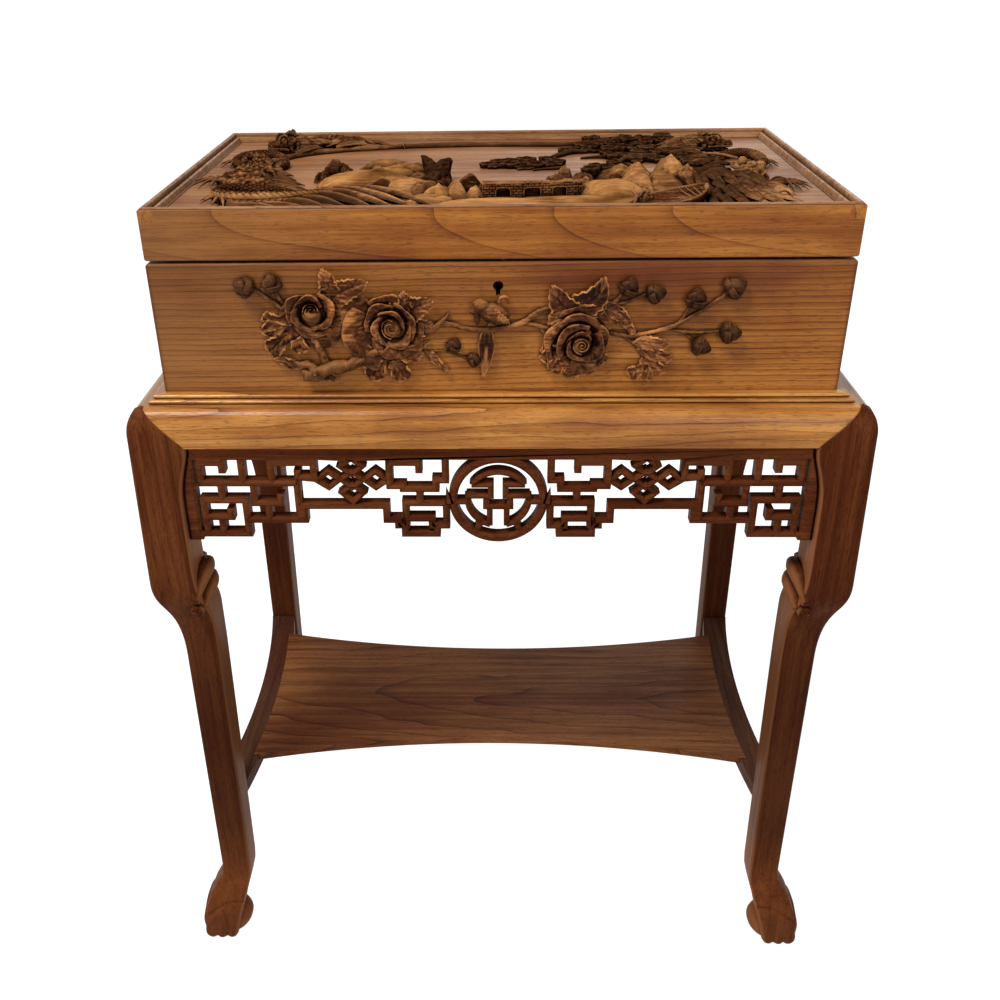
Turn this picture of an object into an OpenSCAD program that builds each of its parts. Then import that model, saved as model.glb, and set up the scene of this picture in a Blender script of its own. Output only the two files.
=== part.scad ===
// Carved chest with a hinged lid on its own stand: four cabriole legs with
// paw feet, bullnose rails, pierced fretwork aprons and a low shelf.
// Millimetres, +Z up, the front faces -Y, and the origin lies on the floor under the middle.

/* [Chest] */
// Width of the chest and of its lid
chest_w = 600; // [570:5:700]
// Depth of the chest and of its lid, front to back
chest_d = 350; // [330:5:420]
// Height of the chest's body
body_h = 117.5; // [114:0.5:150]
// Height of the lid's sides
lid_h = 44; // [40:1:60]
// Gap between the lid and the body
lid_gap = 2; // [2:0.5:3]
// Thickness of the boards
board_t = 13; // [12:0.5:16]
// Thickness of the bottom board
bottom_t = 9; // [6:0.5:12]
// Radius where the lid and the body meet
meeting_r = 2.5; // [1:0.5:4]
// Radius on the lid's top edge
top_r = 1.5; // [0.5:0.5:3]
// Height of the side board's finger in the lid's corner joint
finger_h = 12; // [9:1:18]

/* [Lid top] */
// Width of the plain rim around the lid's top
rim_w = 3; // [2:0.5:4]
// Width of the stepped moulding inside the rim
lid_moulding_w = 9; // [8:0.5:9]
// How far the carved field lies below the rim
field_drop = 7; // [5:0.5:9]
// Thickness of the lid's panel
panel_t = 12; // [8:0.5:16]
// Length of the panel's tongue in the boards
tongue_l = 5; // [3:0.5:6]
// Thickness of the panel's tongue
tongue_t = 5; // [3:0.5:6]
// Width of the raised oval cord
cord_w = 6; // [4:0.5:9]
// Height of the raised oval cord
cord_h = 6; // [4:0.5:9]

/* [Stand] */
// Height of the seat that the chest stands on
stand_h = 681.5; // [620:0.5:720]
// Height of the rails
rail_h = 35; // [30:1:45]
// How far the rails and the legs stand out beyond the chest
rail_out = 31.5; // [26:0.5:38]
// How far the rails reach inside the chest's faces
rail_in = 16; // [14:1:24]
// Flat on top of the rail, outside the seat moulding
rail_flat = 6; // [4:0.5:9]
// How far the seat moulding stands out beyond the chest
seat_out = 13; // [9:0.5:15]
// How far the seat moulding reaches inside the chest's faces
seat_in = 20; // [16:1:30]
// Height of the seat moulding
seat_h = 7.5; // [6:0.5:10]

/* [Legs] */
// How far the upper leg reaches inside the chest's faces
leg_in = 9; // [7:0.5:12]
// How far the leg's inner side flares out under the rail
leg_flare = 10; // [6:0.5:14]
// Distance between the knee's two scrolls
scroll_step = 15; // [12:0.5:18]
// Height where the knee begins
knee_z = 493; // [440:1:520]
// Height of the knee's curve
knee_h = 93; // [80:1:110]
// How far the knee stands out beyond the chest
knee_out = 34.3; // [30:0.1:40]
// How far the shin stands out beyond the chest
shin_out = 16.5; // [12:0.5:20]
// Thickness of the shin under the knee
shin_t = 34; // [28:0.5:38]
// Thickness of the ankle
ankle_t = 32; // [26:0.5:34]
// Height of the ankle
ankle_z = 79; // [70:1:95]
// Radius of the knee's scrolls
scroll_r = 9; // [7:0.5:11]
// How far the toes reach beyond the chest
toe_out = 41; // [36:0.5:46]

/* [Fretwork] */
// Height of the fretwork, from the rail to the lowest bar's middle
fret_h = 93; // [90:0.5:110]
// Thickness of the fretwork
fret_t = 10; // [7:0.5:14]
// How far the fretwork lies behind the rail's face
fret_back = 7.5; // [5:0.5:12]
// Width of the fretwork's bars
bar_w = 6.5; // [5:0.25:7]
// Pitch of the grid that the bars follow
grid = 3; // [2.9:0.05:3.1]
// Radius of the middle ring
ring_r = 45.5; // [43:0.5:47]
// Width of the middle ring
ring_w = 8; // [6:0.5:10]

/* [Shelf] */
// Height of the shelf's top
shelf_z = 192; // [150:1:260]
// Thickness of the shelf
shelf_t = 8; // [6:0.5:12]
// Depth of the shelf at its ends
shelf_end_d = 232; // [200:2:260]
// Depth of the shelf at its middle
shelf_mid_d = 172; // [150:2:200]
// Width of the side stretchers
stretcher_w = 30; // [26:0.5:36]
// Thickness of the side stretchers
stretcher_t = 16; // [12:0.5:22]
// How far the side stretchers bow inwards
stretcher_bow = 15; // [8:1:22]
// Width of the shelf's seat on the stretcher
shelf_lap = 7; // [5:0.5:10]

/* [Hinges and lock] */
// Length of a hinge
hinge_l = 50; // [40:2:64]
// Distance between the hinges' middles
hinge_span = 400; // [300:10:480]
// Thickness of a hinge leaf
leaf_t = 1.4; // [1.2:0.1:2]
// Outer radius of the hinge barrel
barrel_r = 3.2; // [2.6:0.1:4]
// Radius of the hinge pin
pin_r = 1.5; // [1.2:0.1:1.8]
// Angle of the open lid, where the hinges stop
open_angle = 95; // [90:1:100]
// Radius of the keyhole
key_r = 4.5; // [3.5:0.25:5.5]
// Depth of the keyhole's middle below the body's top
key_drop = 21; // [18:0.5:26]
// Width of the lock's case
lock_w = 44; // [36:1:56]
// Height of the lock's case
lock_h = 40; // [34:1:50]
// Thickness of the lock's case
lock_t = 12; // [10:0.5:14]
// Travel of the lock's bolt
bolt_travel = 6; // [4:0.5:8]

/* [Hidden] */
$fn = 48;
// Clearances: glued joints touch, sliding and turning parts run free
run_gap = 0.3;
pin_gap = 0.05;
leaf_gap = 0.2;
half_w = chest_w / 2;
half_d = chest_d / 2;
body_z = stand_h;
body_top = body_z + body_h;
lid_z = body_top + lid_gap;
lid_top = lid_z + lid_h;
field_z = lid_top - field_drop;
panel_z = field_z - panel_t;
rail_top = stand_h - seat_h;
rail_z = rail_top - rail_h;
field_hw = half_w - rim_w - lid_moulding_w;
field_hd = half_d - rim_w - lid_moulding_w;
// The inner end of the mitre between leg and rail, as a distance inside the chest's face
mitre_in = leg_in + leg_flare;
// The hinge's axis, behind the back and in the middle of the gap
hinge_y = half_d + barrel_r + run_gap;
hinge_z = body_top + lid_gap / 2;
// Wood colours and metal
honey = [0.62, 0.38, 0.17];
red_brown = [0.36, 0.18, 0.10];
carved_brown = [0.42, 0.25, 0.13];
brass = [0.78, 0.62, 0.32];
// Long enough to cut through anything
far = 2000;

// Points on a cubic curve through its two ends
function cubic(a, b, c, d, n = 10) =
    [for (i = [0 : n]) let (t = i / n, s = 1 - t)
        s * s * s * a + 3 * s * s * t * b + 3 * s * t * t * c + t * t * t * d];
// Points on an arc of an ellipse
function ellipse(centre, rx, rz, from, to, n = 8) =
    [for (i = [0 : n]) let (w = from + (to - from) * i / n) centre + [rx * cos(w), rz * sin(w)]];

// Turns a drawing in (distance, height) into a bar that runs along X
module along_x(length) {
    rotate([90, 0, 90]) linear_extrude(length, center = true) children();
}
// The same, running along Y
module along_y(length) {
    rotate([90, 0, 0]) linear_extrude(length, center = true) children();
}
// A flat form that stands off the chest's front, drawn in (x, height)
module on_front(thickness) {
    translate([0, -half_d, 0]) rotate([90, 0, 0]) linear_extrude(thickness) children();
}
// Part of the plan nearest to the front or, turned, to a side; its edges are the corner mitres
module front_share(reach = 80) {
    translate([0, 0, -far / 2]) linear_extrude(far)
        polygon([[-half_w - reach, -half_d - reach], [half_w + reach, -half_d - reach],
                 [half_w - half_d, 0], [half_d - half_w, 0]]);
}
module side_share(reach = 80) {
    translate([0, 0, -far / 2]) linear_extrude(far)
        polygon([[-half_w - reach, -half_d - reach], [half_d - half_w, 0],
                 [-half_w - reach, half_d + reach]]);
}
// Copies of a corner, front or side piece in its other places
module to_back() { mirror([0, 1, 0]) children(); }
module to_right() { mirror([1, 0, 0]) children(); }

/* The stand's rails and legs */

// Outline of the bullnose that runs round the rails and the legs' heads, from its top down
function nose() = concat(
    [[seat_out, rail_top]],
    ellipse([seat_out + rail_flat, rail_top - rail_h * 0.7], rail_out - seat_out - rail_flat,
            rail_h * 0.7, 90, 0, 8));
// Outline of a leg: outside edge down to the ankle, then the inside edge back up
function leg_outline() = concat(
    nose(),
    cubic([knee_out, knee_z], [knee_out, knee_z - knee_h * 0.35],
          [shin_out + 0.6, knee_z - knee_h * 0.35], [shin_out, knee_z - knee_h], 14),
    [[shin_out + 2, ankle_z]],
    [[shin_out + 2 - ankle_t, ankle_z]],
    [[shin_out - shin_t, knee_z - knee_h]],
    cubic([shin_out - shin_t, knee_z - knee_h * 0.54], [shin_out - shin_t, knee_z - knee_h * 0.28],
          [-leg_in, knee_z - knee_h * 0.2], [-leg_in, knee_z + knee_h * 0.24], 6),
    cubic([-leg_in, rail_z - 0.66 * fret_h], [-leg_in, rail_z - 0.3 * fret_h],
          [-mitre_in, rail_z - 0.2 * fret_h], [-mitre_in, rail_z], 8),
    [[-mitre_in, rail_top]]);
// The same outline in place, cut by the mitre that the rail's end lies on
module leg_outline_at(half) {
    translate([half, 0]) difference() {
        polygon(leg_outline());
        translate([-mitre_in, rail_z]) polygon([[0, 0], [80, 80], [-80, 80], [-80, 0]]);
    }
}

// A paw in the corner's own frame: knuckles under the ankle, five toes and a round heel
toe_r = toe_out * 0.18;
heel_r = ankle_t * 0.65;
knuckle_z = ankle_z / 3;
module paw() {
    pad = toe_out - toe_r * 1.2;
    mid = pad * 0.48;
    hull() {
        translate([shin_out + 2 - ankle_t, shin_out + 2 - ankle_t, ankle_z])
            cube([ankle_t, ankle_t, 0.5]);
        for (p = [[pad - 4, pad - 4], [pad - 3, 2], [2, pad - 3]])
            translate([p[0], p[1], knuckle_z]) sphere(toe_r * 1.45, $fn = 20);
    }
    for (p = [[pad, 2], [pad, mid], [pad - 1, pad - 1], [mid, pad], [2, pad]])
        hull() {
            translate([p[0], p[1], toe_r - 1]) sphere(toe_r, $fn = 16);
            translate([p[0] - toe_r, p[1] - toe_r, knuckle_z]) sphere(toe_r * 1.25, $fn = 16);
        }
    translate([2, 2, heel_r - 2]) sphere(heel_r);
}

// The leg at the right of the back, in place
module leg() {
    color(red_brown) union() {
        intersection() {
            translate([0, half_d, 0]) along_y(160) leg_outline_at(half_w);
            translate([half_w, 0, 0]) along_x(160) leg_outline_at(half_d);
        }
        // Two scroll lobes on the inner edge of the knee, facing both ways
        for (k = [0, 1]) mirror([k, -k, 0])
            knee_scrolls(k == 0 ? half_w : half_d, k == 0 ? half_d : half_w);
        intersection() {
            translate([half_w, half_d, 0]) paw();
            cube([far, far, ankle_z]);
        }
    }
}
scroll_z = knee_z + knee_h * 0.13;
module knee_scrolls(across, along) {
    for (s = [0, 1])
        translate([across - leg_in - scroll_r * 0.55 - s, along + 6, scroll_z - s * scroll_step])
            rotate([90, 0, 0]) cylinder(h = shin_t - scroll_r, r = scroll_r, center = true);
}
module leg_front_left() { mirror([1, 0, 0]) mirror([0, 1, 0]) leg(); }
module leg_front_right() { mirror([0, 1, 0]) leg(); }
module leg_back_left() { mirror([1, 0, 0]) leg(); }
module leg_back_right() { leg(); }

// Section of a rail, as distance out from the chest's face and height
module rail_section() {
    polygon(concat([[-rail_in, rail_top]], nose(), [[rail_out, rail_z], [-rail_in, rail_z]]));
}
// Elevation of a rail: its ends are mitred against the legs' heads
module rail_elevation(half) {
    inner = half - mitre_in;
    polygon([[-inner, rail_z], [inner, rail_z], [inner + rail_h, rail_top],
             [-inner - rail_h, rail_top]]);
}
module screw_hole(x, y) {
    translate([x, y, rail_z - 1]) cylinder(h = 1 + screw_sink, r = 5);
    translate([x, y, rail_z - 1]) cylinder(h = 1 + screw_sink - 3 + screw_l, r = 2);
}
// The chest is screwed down from under the front and back rails
screw_sink = 12;
screw_l = 50;
screw_y = half_d - board_t / 2;
screw_xs = [-chest_w * 0.37, 0, chest_w * 0.37];
module screw_holes() {
    for (x = screw_xs) for (s = [-1, 1]) screw_hole(x, s * screw_y);
}
module rail_front() {
    color(honey) difference() {
        intersection() {
            translate([0, -half_d, 0]) mirror([0, 1, 0]) along_x(chest_w + 4 * rail_out) rail_section();
            translate([0, -half_d, 0]) along_y(200) rail_elevation(half_w);
            front_share();
        }
        screw_holes();
    }
}
module rail_left() {
    color(honey) intersection() {
        translate([-half_w, 0, 0]) mirror([1, 0, 0]) along_y(chest_d + 4 * rail_out) rail_section();
        translate([-half_w, 0, 0]) along_x(200) rail_elevation(half_d);
        side_share();
    }
}
module rail_back() { to_back() rail_front(); }
module rail_right() { to_right() rail_left(); }

// The seat moulding: two round beads, one above and behind the other
bead_h = seat_h / 2;
bead_step = seat_out * 0.3;
module seat_section() {
    polygon(concat(
        [[-seat_in, rail_top], [seat_out - bead_h / 2, rail_top]],
        ellipse([seat_out - bead_h / 2, rail_top + bead_h / 2], bead_h / 2, bead_h / 2, -90, 90, 6),
        [[seat_out - bead_step - bead_h / 2, rail_top + bead_h]],
        ellipse([seat_out - bead_step - bead_h / 2, rail_top + bead_h * 1.5], bead_h / 2, bead_h / 2,
                -90, 90, 6),
        [[-seat_in, stand_h]]));
}
module seat_moulding_front() {
    color(honey) difference() {
        intersection() {
            translate([0, -half_d, 0]) mirror([0, 1, 0]) along_x(chest_w + 4 * seat_out) seat_section();
            front_share();
        }
        screw_holes();
    }
}
module seat_moulding_left() {
    color(honey) intersection() {
        translate([-half_w, 0, 0]) mirror([1, 0, 0]) along_y(chest_d + 4 * seat_out) seat_section();
        side_share();
    }
}
module seat_moulding_back() { to_back() seat_moulding_front(); }
module seat_moulding_right() { to_right() seat_moulding_left(); }

/* Fretwork aprons, drawn on a grid: first number along the apron, second number up */

row_0 = rail_z - fret_h;
top_band = 15;
side_band = 13;
// Bars of the end block, counted from the leg
end_bars = [
    [[13, 22.5], [13, 25], [6, 25], [6, 18], [35.5, 18], [35.5, 5], [19, 5]],
    [[19, 26], [19, 18]],
    [[28, 18], [28, 25], [41, 25], [41, 20], [36, 20], [36, 21.5]],
    [[22, 18], [22, 11], [30, 11], [30, 13]],
    [[26, 11], [26, 5]],
    [[12, 18], [12, 12]],
    [[5, 0], [19, 0], [19, 12], [6, 12], [6, 0]],
    [[8, 6], [14, 6], [14, 8]],
    [[11, 6], [11, 0]],
    [[35.5, 5], [37, 5], [37, 8]]];
// Bars of the block beside the middle ring, counted from the ring's middle
middle_bars = [
    [[24, 22.5], [24, 25], [33, 25], [33, 17], [29, 17], [29, 16], [19, 16], [19, 19], [16, 19], [16, 26]],
    [[24, 16], [24, 11]],
    [[34.5, 10], [34.5, 5], [31, 5], [31, 3], [29, 3], [29, 0], [19, 0], [19, 3], [16, 3], [16, 11],
     [28.5, 11], [28.5, 3]],
    [[27, 5.5], [20.5, 5.5], [20.5, 3]]];
long_bar_row = 10;
knot_row = 19.2;

module bar(p, q) {
    a = grid * [min(p[0], q[0]), min(p[1], q[1])] - [bar_w, bar_w] / 2;
    translate(a) square(grid * [abs(q[0] - p[0]), abs(q[1] - p[1])] + [bar_w, bar_w]);
}
module bars(paths) {
    for (path = paths) for (i = [1 : len(path) - 1]) bar(path[i - 1], path[i]);
}
// One open diamond of the knot
module diamond(x, z) {
    wide = grid * 4.67;
    tall = grid * 3.83;
    eye = 0.43;
    translate([x, z]) difference() {
        polygon([[-wide, 0], [0, tall], [wide, 0], [0, -tall]]);
        polygon(eye * [[-wide, 0], [0, tall], [wide, 0], [0, -tall]]);
    }
}
module knot(x) {
    for (p = [[0, 0], [7.17, 0], [-7.17, 0], [0, 4.5], [0, -4.5]])
        diamond(x + p[0] * grid, (knot_row + p[1]) * grid);
}
// Ring with the round fret inside it, drawn about its own middle
ring_row = 12.4;
module arc_bar(r, from, to, w) {
    intersection() {
        difference() {
            circle(r + w / 2);
            circle(r - w / 2);
        }
        polygon(concat([[0, 0]], [for (i = [0 : 6]) let (a = from + (to - from) * i / 6)
            2 * r * [cos(a), sin(a)]]));
    }
}
module round_fret() {
    w = bar_w * 0.85;
    inner = ring_r - ring_w;
    arc_r = inner * 0.75;
    difference() {
        circle(ring_r, $fn = 96);
        circle(inner, $fn = 96);
    }
    arc_bar(arc_r, 32, 148, w);
    for (s = [-1, 1]) scale([s, 1]) {
        translate([arc_r * 0.14, arc_r * 0.53 - w / 2]) square([arc_r * 0.73, w]);
        translate([arc_r * 0.14, arc_r * 0.12 - w / 2]) square([w, arc_r * 0.41 + w]);
        translate([arc_r * 0.14, arc_r * 0.12 - w / 2]) square([arc_r * 0.9, w]);
        arc_bar(arc_r, -75, 7, w);
        translate([arc_r * 0.18, -arc_r]) square([w, arc_r * 0.75]);
        translate([arc_r * 0.28, -arc_r * 0.3]) square([w, arc_r * 0.36]);
        translate([arc_r, -w]) square([inner - arc_r + ring_w / 4, w]);
        rotate(-58) translate([arc_r, -w / 2]) square([inner - arc_r + ring_w / 4, w]);
    }
    translate([-arc_r / 2, -arc_r * 0.28 - w / 2]) square([arc_r, w]);
}
// The frame of an apron, with the end block at its right and left
module apron_ends(half) {
    translate([-half, fret_h - top_band]) square([2 * half, top_band]);
    for (s = [-1, 1]) scale([s, 1]) {
        translate([half - side_band, -bar_w]) square([side_band, fret_h + bar_w]);
        translate([half, 0]) mirror([1, 0]) bars(end_bars);
    }
}
module front_pattern(half) {
    apron_ends(half);
    for (s = [-1, 1]) scale([s, 1]) {
        bars(middle_bars);
        bars([[[34.5, long_bar_row], [half / grid - 35.5, long_bar_row]]]);
        knot((33 * grid + half - 41 * grid) / 2);
    }
    translate([0, ring_row * grid]) round_fret();
}
module side_pattern(half) {
    apron_ends(half);
    bars([[[35.5 - half / grid, long_bar_row], [half / grid - 35.5, long_bar_row]]]);
    knot(0);
}
fret_out = rail_out - fret_back;
module fret_front() {
    color(red_brown) difference() {
        translate([0, -half_d - fret_out + fret_t, row_0]) rotate([90, 0, 0]) linear_extrude(fret_t)
            front_pattern(half_w - leg_in);
        for (s = [0, 1]) mirror([s, 0, 0]) translate([0, -half_d, 0]) along_y(160) leg_outline_at(half_w);
    }
}
module fret_left() {
    color(red_brown) difference() {
        translate([-half_w - fret_out + fret_t, 0, row_0]) rotate([90, 0, -90]) linear_extrude(fret_t)
            side_pattern(half_d - leg_in);
        for (s = [0, 1]) mirror([0, s, 0]) translate([-half_w, 0, 0]) along_x(160) leg_outline_at(half_d);
    }
}
module fret_back_side() { to_back() fret_front(); }
module fret_right() { to_right() fret_left(); }

/* Shelf and stretchers */

stretcher_top = shelf_z - 1;
// Half the length between the legs' inner faces, at the stretcher
shin_in = shin_t - shin_out - 1.5;
bow_half = half_d - shin_in;
bow_r = (bow_half * bow_half + stretcher_bow * stretcher_bow) / (2 * stretcher_bow);
stretcher_x = half_w + shin_out + 1 - stretcher_bow;
module bow_disc(shift, height, z) {
    translate([stretcher_x + bow_r, 0, z]) cylinder(h = height, r = bow_r + shift, $fn = 240);
}
module stretcher_right() {
    color(red_brown) intersection() {
        difference() {
            bow_disc(stretcher_w, stretcher_t, stretcher_top - stretcher_t);
            bow_disc(0, 3 * stretcher_t, stretcher_top - 2 * stretcher_t);
            difference() {
                translate([0, -shelf_end_d / 2, shelf_z - shelf_t])
                    cube([far, shelf_end_d, 2 * shelf_t]);
                bow_disc(stretcher_w - shelf_lap, 4 * shelf_t, shelf_z - 2 * shelf_t);
            }
        }
        difference() {
            translate([0, 6 - half_d, 0]) cube([half_w + rail_out, chest_d - 12, far]);
            for (s = [0, 1]) mirror([0, s, 0]) translate([half_w, 0, 0])
                along_x(160) leg_outline_at(half_d);
        }
    }
}
module stretcher_left() { to_right() stretcher_right(); }
shelf_sag = (shelf_end_d - shelf_mid_d) / 2;
shelf_half = stretcher_x - stretcher_w + shelf_lap;
shelf_r = (shelf_half * shelf_half + shelf_sag * shelf_sag) / (2 * shelf_sag);
module shelf() {
    color(red_brown) difference() {
        translate([-half_w, -shelf_end_d / 2, shelf_z - shelf_t])
            cube([2 * half_w, shelf_end_d, shelf_t]);
        for (s = [-1, 1]) translate([0, s * (shelf_mid_d / 2 + shelf_r), shelf_z - 2 * shelf_t])
            cylinder(h = 4 * shelf_t, r = shelf_r, $fn = 240);
        for (s = [0, 1]) mirror([s, 0, 0])
            bow_disc(stretcher_w - shelf_lap + run_gap, 4 * shelf_t, shelf_z - 2 * shelf_t);
    }
}

/* The chest's body */

// Section of the body and of the lid across one direction, with their rounded edges
module body_envelope(half) {
    polygon(concat([[-half, body_z], [half, body_z]],
        ellipse([half - meeting_r, body_top - meeting_r], meeting_r, meeting_r, 0, 90, 5),
        ellipse([-half + meeting_r, body_top - meeting_r], meeting_r, meeting_r, 90, 180, 5)));
}
module lid_envelope(half) {
    polygon(concat(
        ellipse([-half + meeting_r, lid_z + meeting_r], meeting_r, meeting_r, 180, 270, 5),
        ellipse([half - meeting_r, lid_z + meeting_r], meeting_r, meeting_r, 270, 360, 5),
        ellipse([half - top_r, lid_top - top_r], top_r, top_r, 0, 90, 4),
        ellipse([-half + top_r, lid_top - top_r], top_r, top_r, 90, 180, 4)));
}
module hinge_mortises(z) {
    for (x = [-1, 1] * hinge_span / 2)
        translate([x - hinge_l / 2, half_d - leaf_w, z]) cube([hinge_l, leaf_w + 1, leaf_t]);
}
leaf_w = board_t - 1;
chest_leaf_z = hinge_z - leaf_gap / 2 - leaf_t;
lid_leaf_z = hinge_z + leaf_gap / 2;

module chest_front() {
    color(honey) difference() {
        intersection() {
            translate([-half_w, -half_d, body_z]) cube([chest_w, board_t, body_h]);
            along_x(far) body_envelope(half_d);
            along_y(far) body_envelope(half_w);
        }
        screw_holes();
        // Mortise for the lock and its top plate, and the keyhole with its slot
        translate([-lock_w / 2, lock_y, body_top - lock_h]) cube([lock_w, far, lock_h + 1]);
        translate([-plate_l / 2, lock_y, body_top - plate_t]) cube([plate_l, far, plate_t + 1]);
        keyhole();
        lock_screw_holes();
    }
}
module chest_back() {
    color(honey) difference() {
        intersection() {
            translate([-half_w, half_d - board_t, body_z]) cube([chest_w, board_t, body_h]);
            along_x(far) body_envelope(half_d);
            along_y(far) body_envelope(half_w);
        }
        screw_holes();
        hinge_mortises(chest_leaf_z);
        hinge_screw_set(-1);
    }
}
module chest_left() {
    color(honey) intersection() {
        translate([-half_w, board_t - half_d, body_z]) cube([board_t, chest_d - 2 * board_t, body_h]);
        along_y(far) body_envelope(half_w);
    }
}
module chest_right() { to_right() chest_left(); }
module chest_bottom() {
    color(honey) translate([board_t - half_w, board_t - half_d, body_z])
        cube([chest_w - 2 * board_t, chest_d - 2 * board_t, bottom_t]);
}

/* The lid */

// The pocket for the moulding and the hollow under the panel, with the panel's groove
module lid_pocket() {
    translate([rim_w - half_w, rim_w - half_d, field_z])
        cube([chest_w - 2 * rim_w, chest_d - 2 * rim_w, far]);
    translate([board_t - half_w, board_t - half_d, lid_z - 1])
        cube([chest_w - 2 * board_t, chest_d - 2 * board_t, far]);
    translate([board_t - tongue_l - half_w, board_t - tongue_l - half_d, panel_z])
        cube([chest_w - 2 * board_t + 2 * tongue_l, chest_d - 2 * board_t + 2 * tongue_l, tongue_t]);
}
// The side boards' fingers in the top of each corner
module fingers() {
    for (x = [-half_w, half_w - board_t]) translate([x, -half_d, lid_top - finger_h])
        cube([board_t, chest_d, finger_h + 1]);
}
module lid_shape() {
    difference() {
        intersection() {
            children();
            along_x(far) lid_envelope(half_d);
            along_y(far) lid_envelope(half_w);
        }
        lid_pocket();
    }
}
module lid_front() {
    color(honey) difference() {
        lid_shape() difference() {
            translate([-half_w, -half_d, lid_z]) cube([chest_w, board_t, lid_h]);
            fingers();
        }
        strike_seat();
    }
}
module lid_back() {
    color(honey) difference() {
        lid_shape() difference() {
            translate([-half_w, half_d - board_t, lid_z]) cube([chest_w, board_t, lid_h]);
            fingers();
        }
        hinge_mortises(lid_leaf_z);
        hinge_screw_set(1);
    }
}
module lid_left() {
    color(honey) lid_shape() union() {
        translate([-half_w, board_t - half_d, lid_z]) cube([board_t, chest_d - 2 * board_t, lid_h]);
        translate([-half_w, -half_d, lid_top - finger_h]) cube([board_t, chest_d, finger_h]);
    }
}
module lid_right() { to_right() lid_left(); }
module lid_panel() {
    color(honey) union() {
        translate([board_t - half_w, board_t - half_d, panel_z])
            cube([chest_w - 2 * board_t, chest_d - 2 * board_t, panel_t]);
        translate([board_t - tongue_l - half_w, board_t - tongue_l - half_d, panel_z])
            cube([chest_w - 2 * board_t + 2 * tongue_l, chest_d - 2 * board_t + 2 * tongue_l, tongue_t]);
    }
}
// Section of the lid's moulding: a broad band, a groove, a thin band and a cove
module lid_moulding_section() {
    w = lid_moulding_w;
    polygon([[0, field_z], [0, lid_top - 2.8], [w * 0.06, lid_top - 2.8], [w * 0.1, lid_top - 1.5],
             [w * 0.56, lid_top - 1.9], [w * 0.59, lid_top - 3.4], [w * 0.65, lid_top - 3.4],
             [w * 0.68, lid_top - 2.7], [w * 0.9, lid_top - 3], [w * 0.95, lid_top - 4.5],
             [w, field_z]]);
}
module lid_moulding_front() {
    color(honey) intersection() {
        translate([0, -half_d + rim_w, 0]) along_x(far) lid_moulding_section();
        front_share();
        cube([chest_w - 2 * rim_w, far, far], center = true);
    }
}
module lid_moulding_left() {
    color(honey) intersection() {
        translate([-half_w + rim_w, 0, 0]) along_y(far) lid_moulding_section();
        side_share();
        cube([far, chest_d - 2 * rim_w, far], center = true);
    }
}
module lid_moulding_back() { to_back() lid_moulding_front(); }
module lid_moulding_right() { to_right() lid_moulding_left(); }

/* Relief on the lid */

// The oval that the cord follows, fuller than an ellipse
function signed_power(v, p) = sign(v) * pow(abs(v), p);
function oval(a, b, n = 72) = [for (i = [0 : n - 1]) let (t = 360 * i / n)
    [a * signed_power(cos(t), 0.84), b * signed_power(sin(t), 0.84)]];
oval_a = field_hw - 56;
oval_b = field_hd - 46;
// The scale of the relief, so that it fits the field both ways
relief = min(field_hw / 288, field_hd / 163);
module on_field() { translate([0, 0, field_z]) children(); }
module above_field() {
    intersection() {
        children();
        translate([0, 0, field_z + far / 2]) cube([far, far, far], center = true);
    }
}
module lid_cord() {
    color(carved_brown) difference() {
        on_field() linear_extrude(cord_h) difference() {
            polygon(oval(oval_a + cord_w / 2, oval_b + cord_w / 2));
            polygon(oval(oval_a - cord_w / 2, oval_b - cord_w / 2));
        }
        // The front of the oval and the places where the dragons lie stay clear of the cord
        translate([-far / 2, -far - 42 * relief, field_z - 1]) cube([far, far, far]);
        for (c = cord_gaps) translate([c[0] * oval_a + c[1] * relief, c[2] * relief, field_z - 1])
            cylinder(h = far, r = c[3] * relief);
        translate([58, 60, 0] * relief + [0, 0, field_z - 1]) cube([132 * relief, far, far]);
    }
}
// Each gap in the cord: the end of the oval it belongs to, its place from there, its radius
cord_gaps = [[-1, -12, 32, 28], [-1, 4, -20, 32], [-1, 18, 66, 34], [-1, 12, 88, 15], [-1, 46, 76, 12],
             [1, -4, 2, 34], [1, -6, 56, 36], [1, -4, -46, 40]];

// A dragon's coil: part of a ring that lies on the field
module coil(x, y, r, thick, from, sweep) {
    above_field() translate([x, y, 0] * relief + [0, 0, field_z]) rotate([0, 0, from])
        rotate_extrude(angle = sweep) translate([r * relief, 0]) circle(thick * relief);
}
module lump(x, y, r, lift = 0) {
    above_field() translate([x, y, lift] * relief + [0, 0, field_z]) sphere(r * relief);
}
module dragon_left() {
    color(carved_brown) translate([-oval_a, 0, 0]) union() {
        coil(-12, 32, 17, 8, 10, 300);
        coil(-4, -72, 27, 11, 60, 250);
        coil(4, -20, 21, 8, 80, 160);
        coil(50, -60, 84, 9, 225, 70);
        coil(18, 66, 22, 8, 60, 130);
        lump(12, 88, 12, 4);
        lump(34, 80, 9, 3);
        lump(46, 76, 8, 2);
        lump(-40, -50, 9);
        lump(-12, -108, 11);
        lump(-16, -140, 11);
        lump(28, -152, 9);
    }
}
module dragon_right() {
    color(carved_brown) translate([oval_a, 0, 0]) union() {
        coil(-4, 2, 22, 9, -80, 300);
        coil(8, -95, 20, 10, 40, 290);
        coil(2, -48, 24, 9, -60, 150);
        coil(-6, 56, 24, 9, -90, 190);
        coil(-10, -124, 28, 9, 200, 170);
        lump(-2, 94, 12, 4);
        lump(-16, 84, 10, 4);
        lump(24, -4, 9);
        lump(28, -46, 9);
        lump(28, -74, 9);
        lump(26, -136, 9);
    }
}
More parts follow.
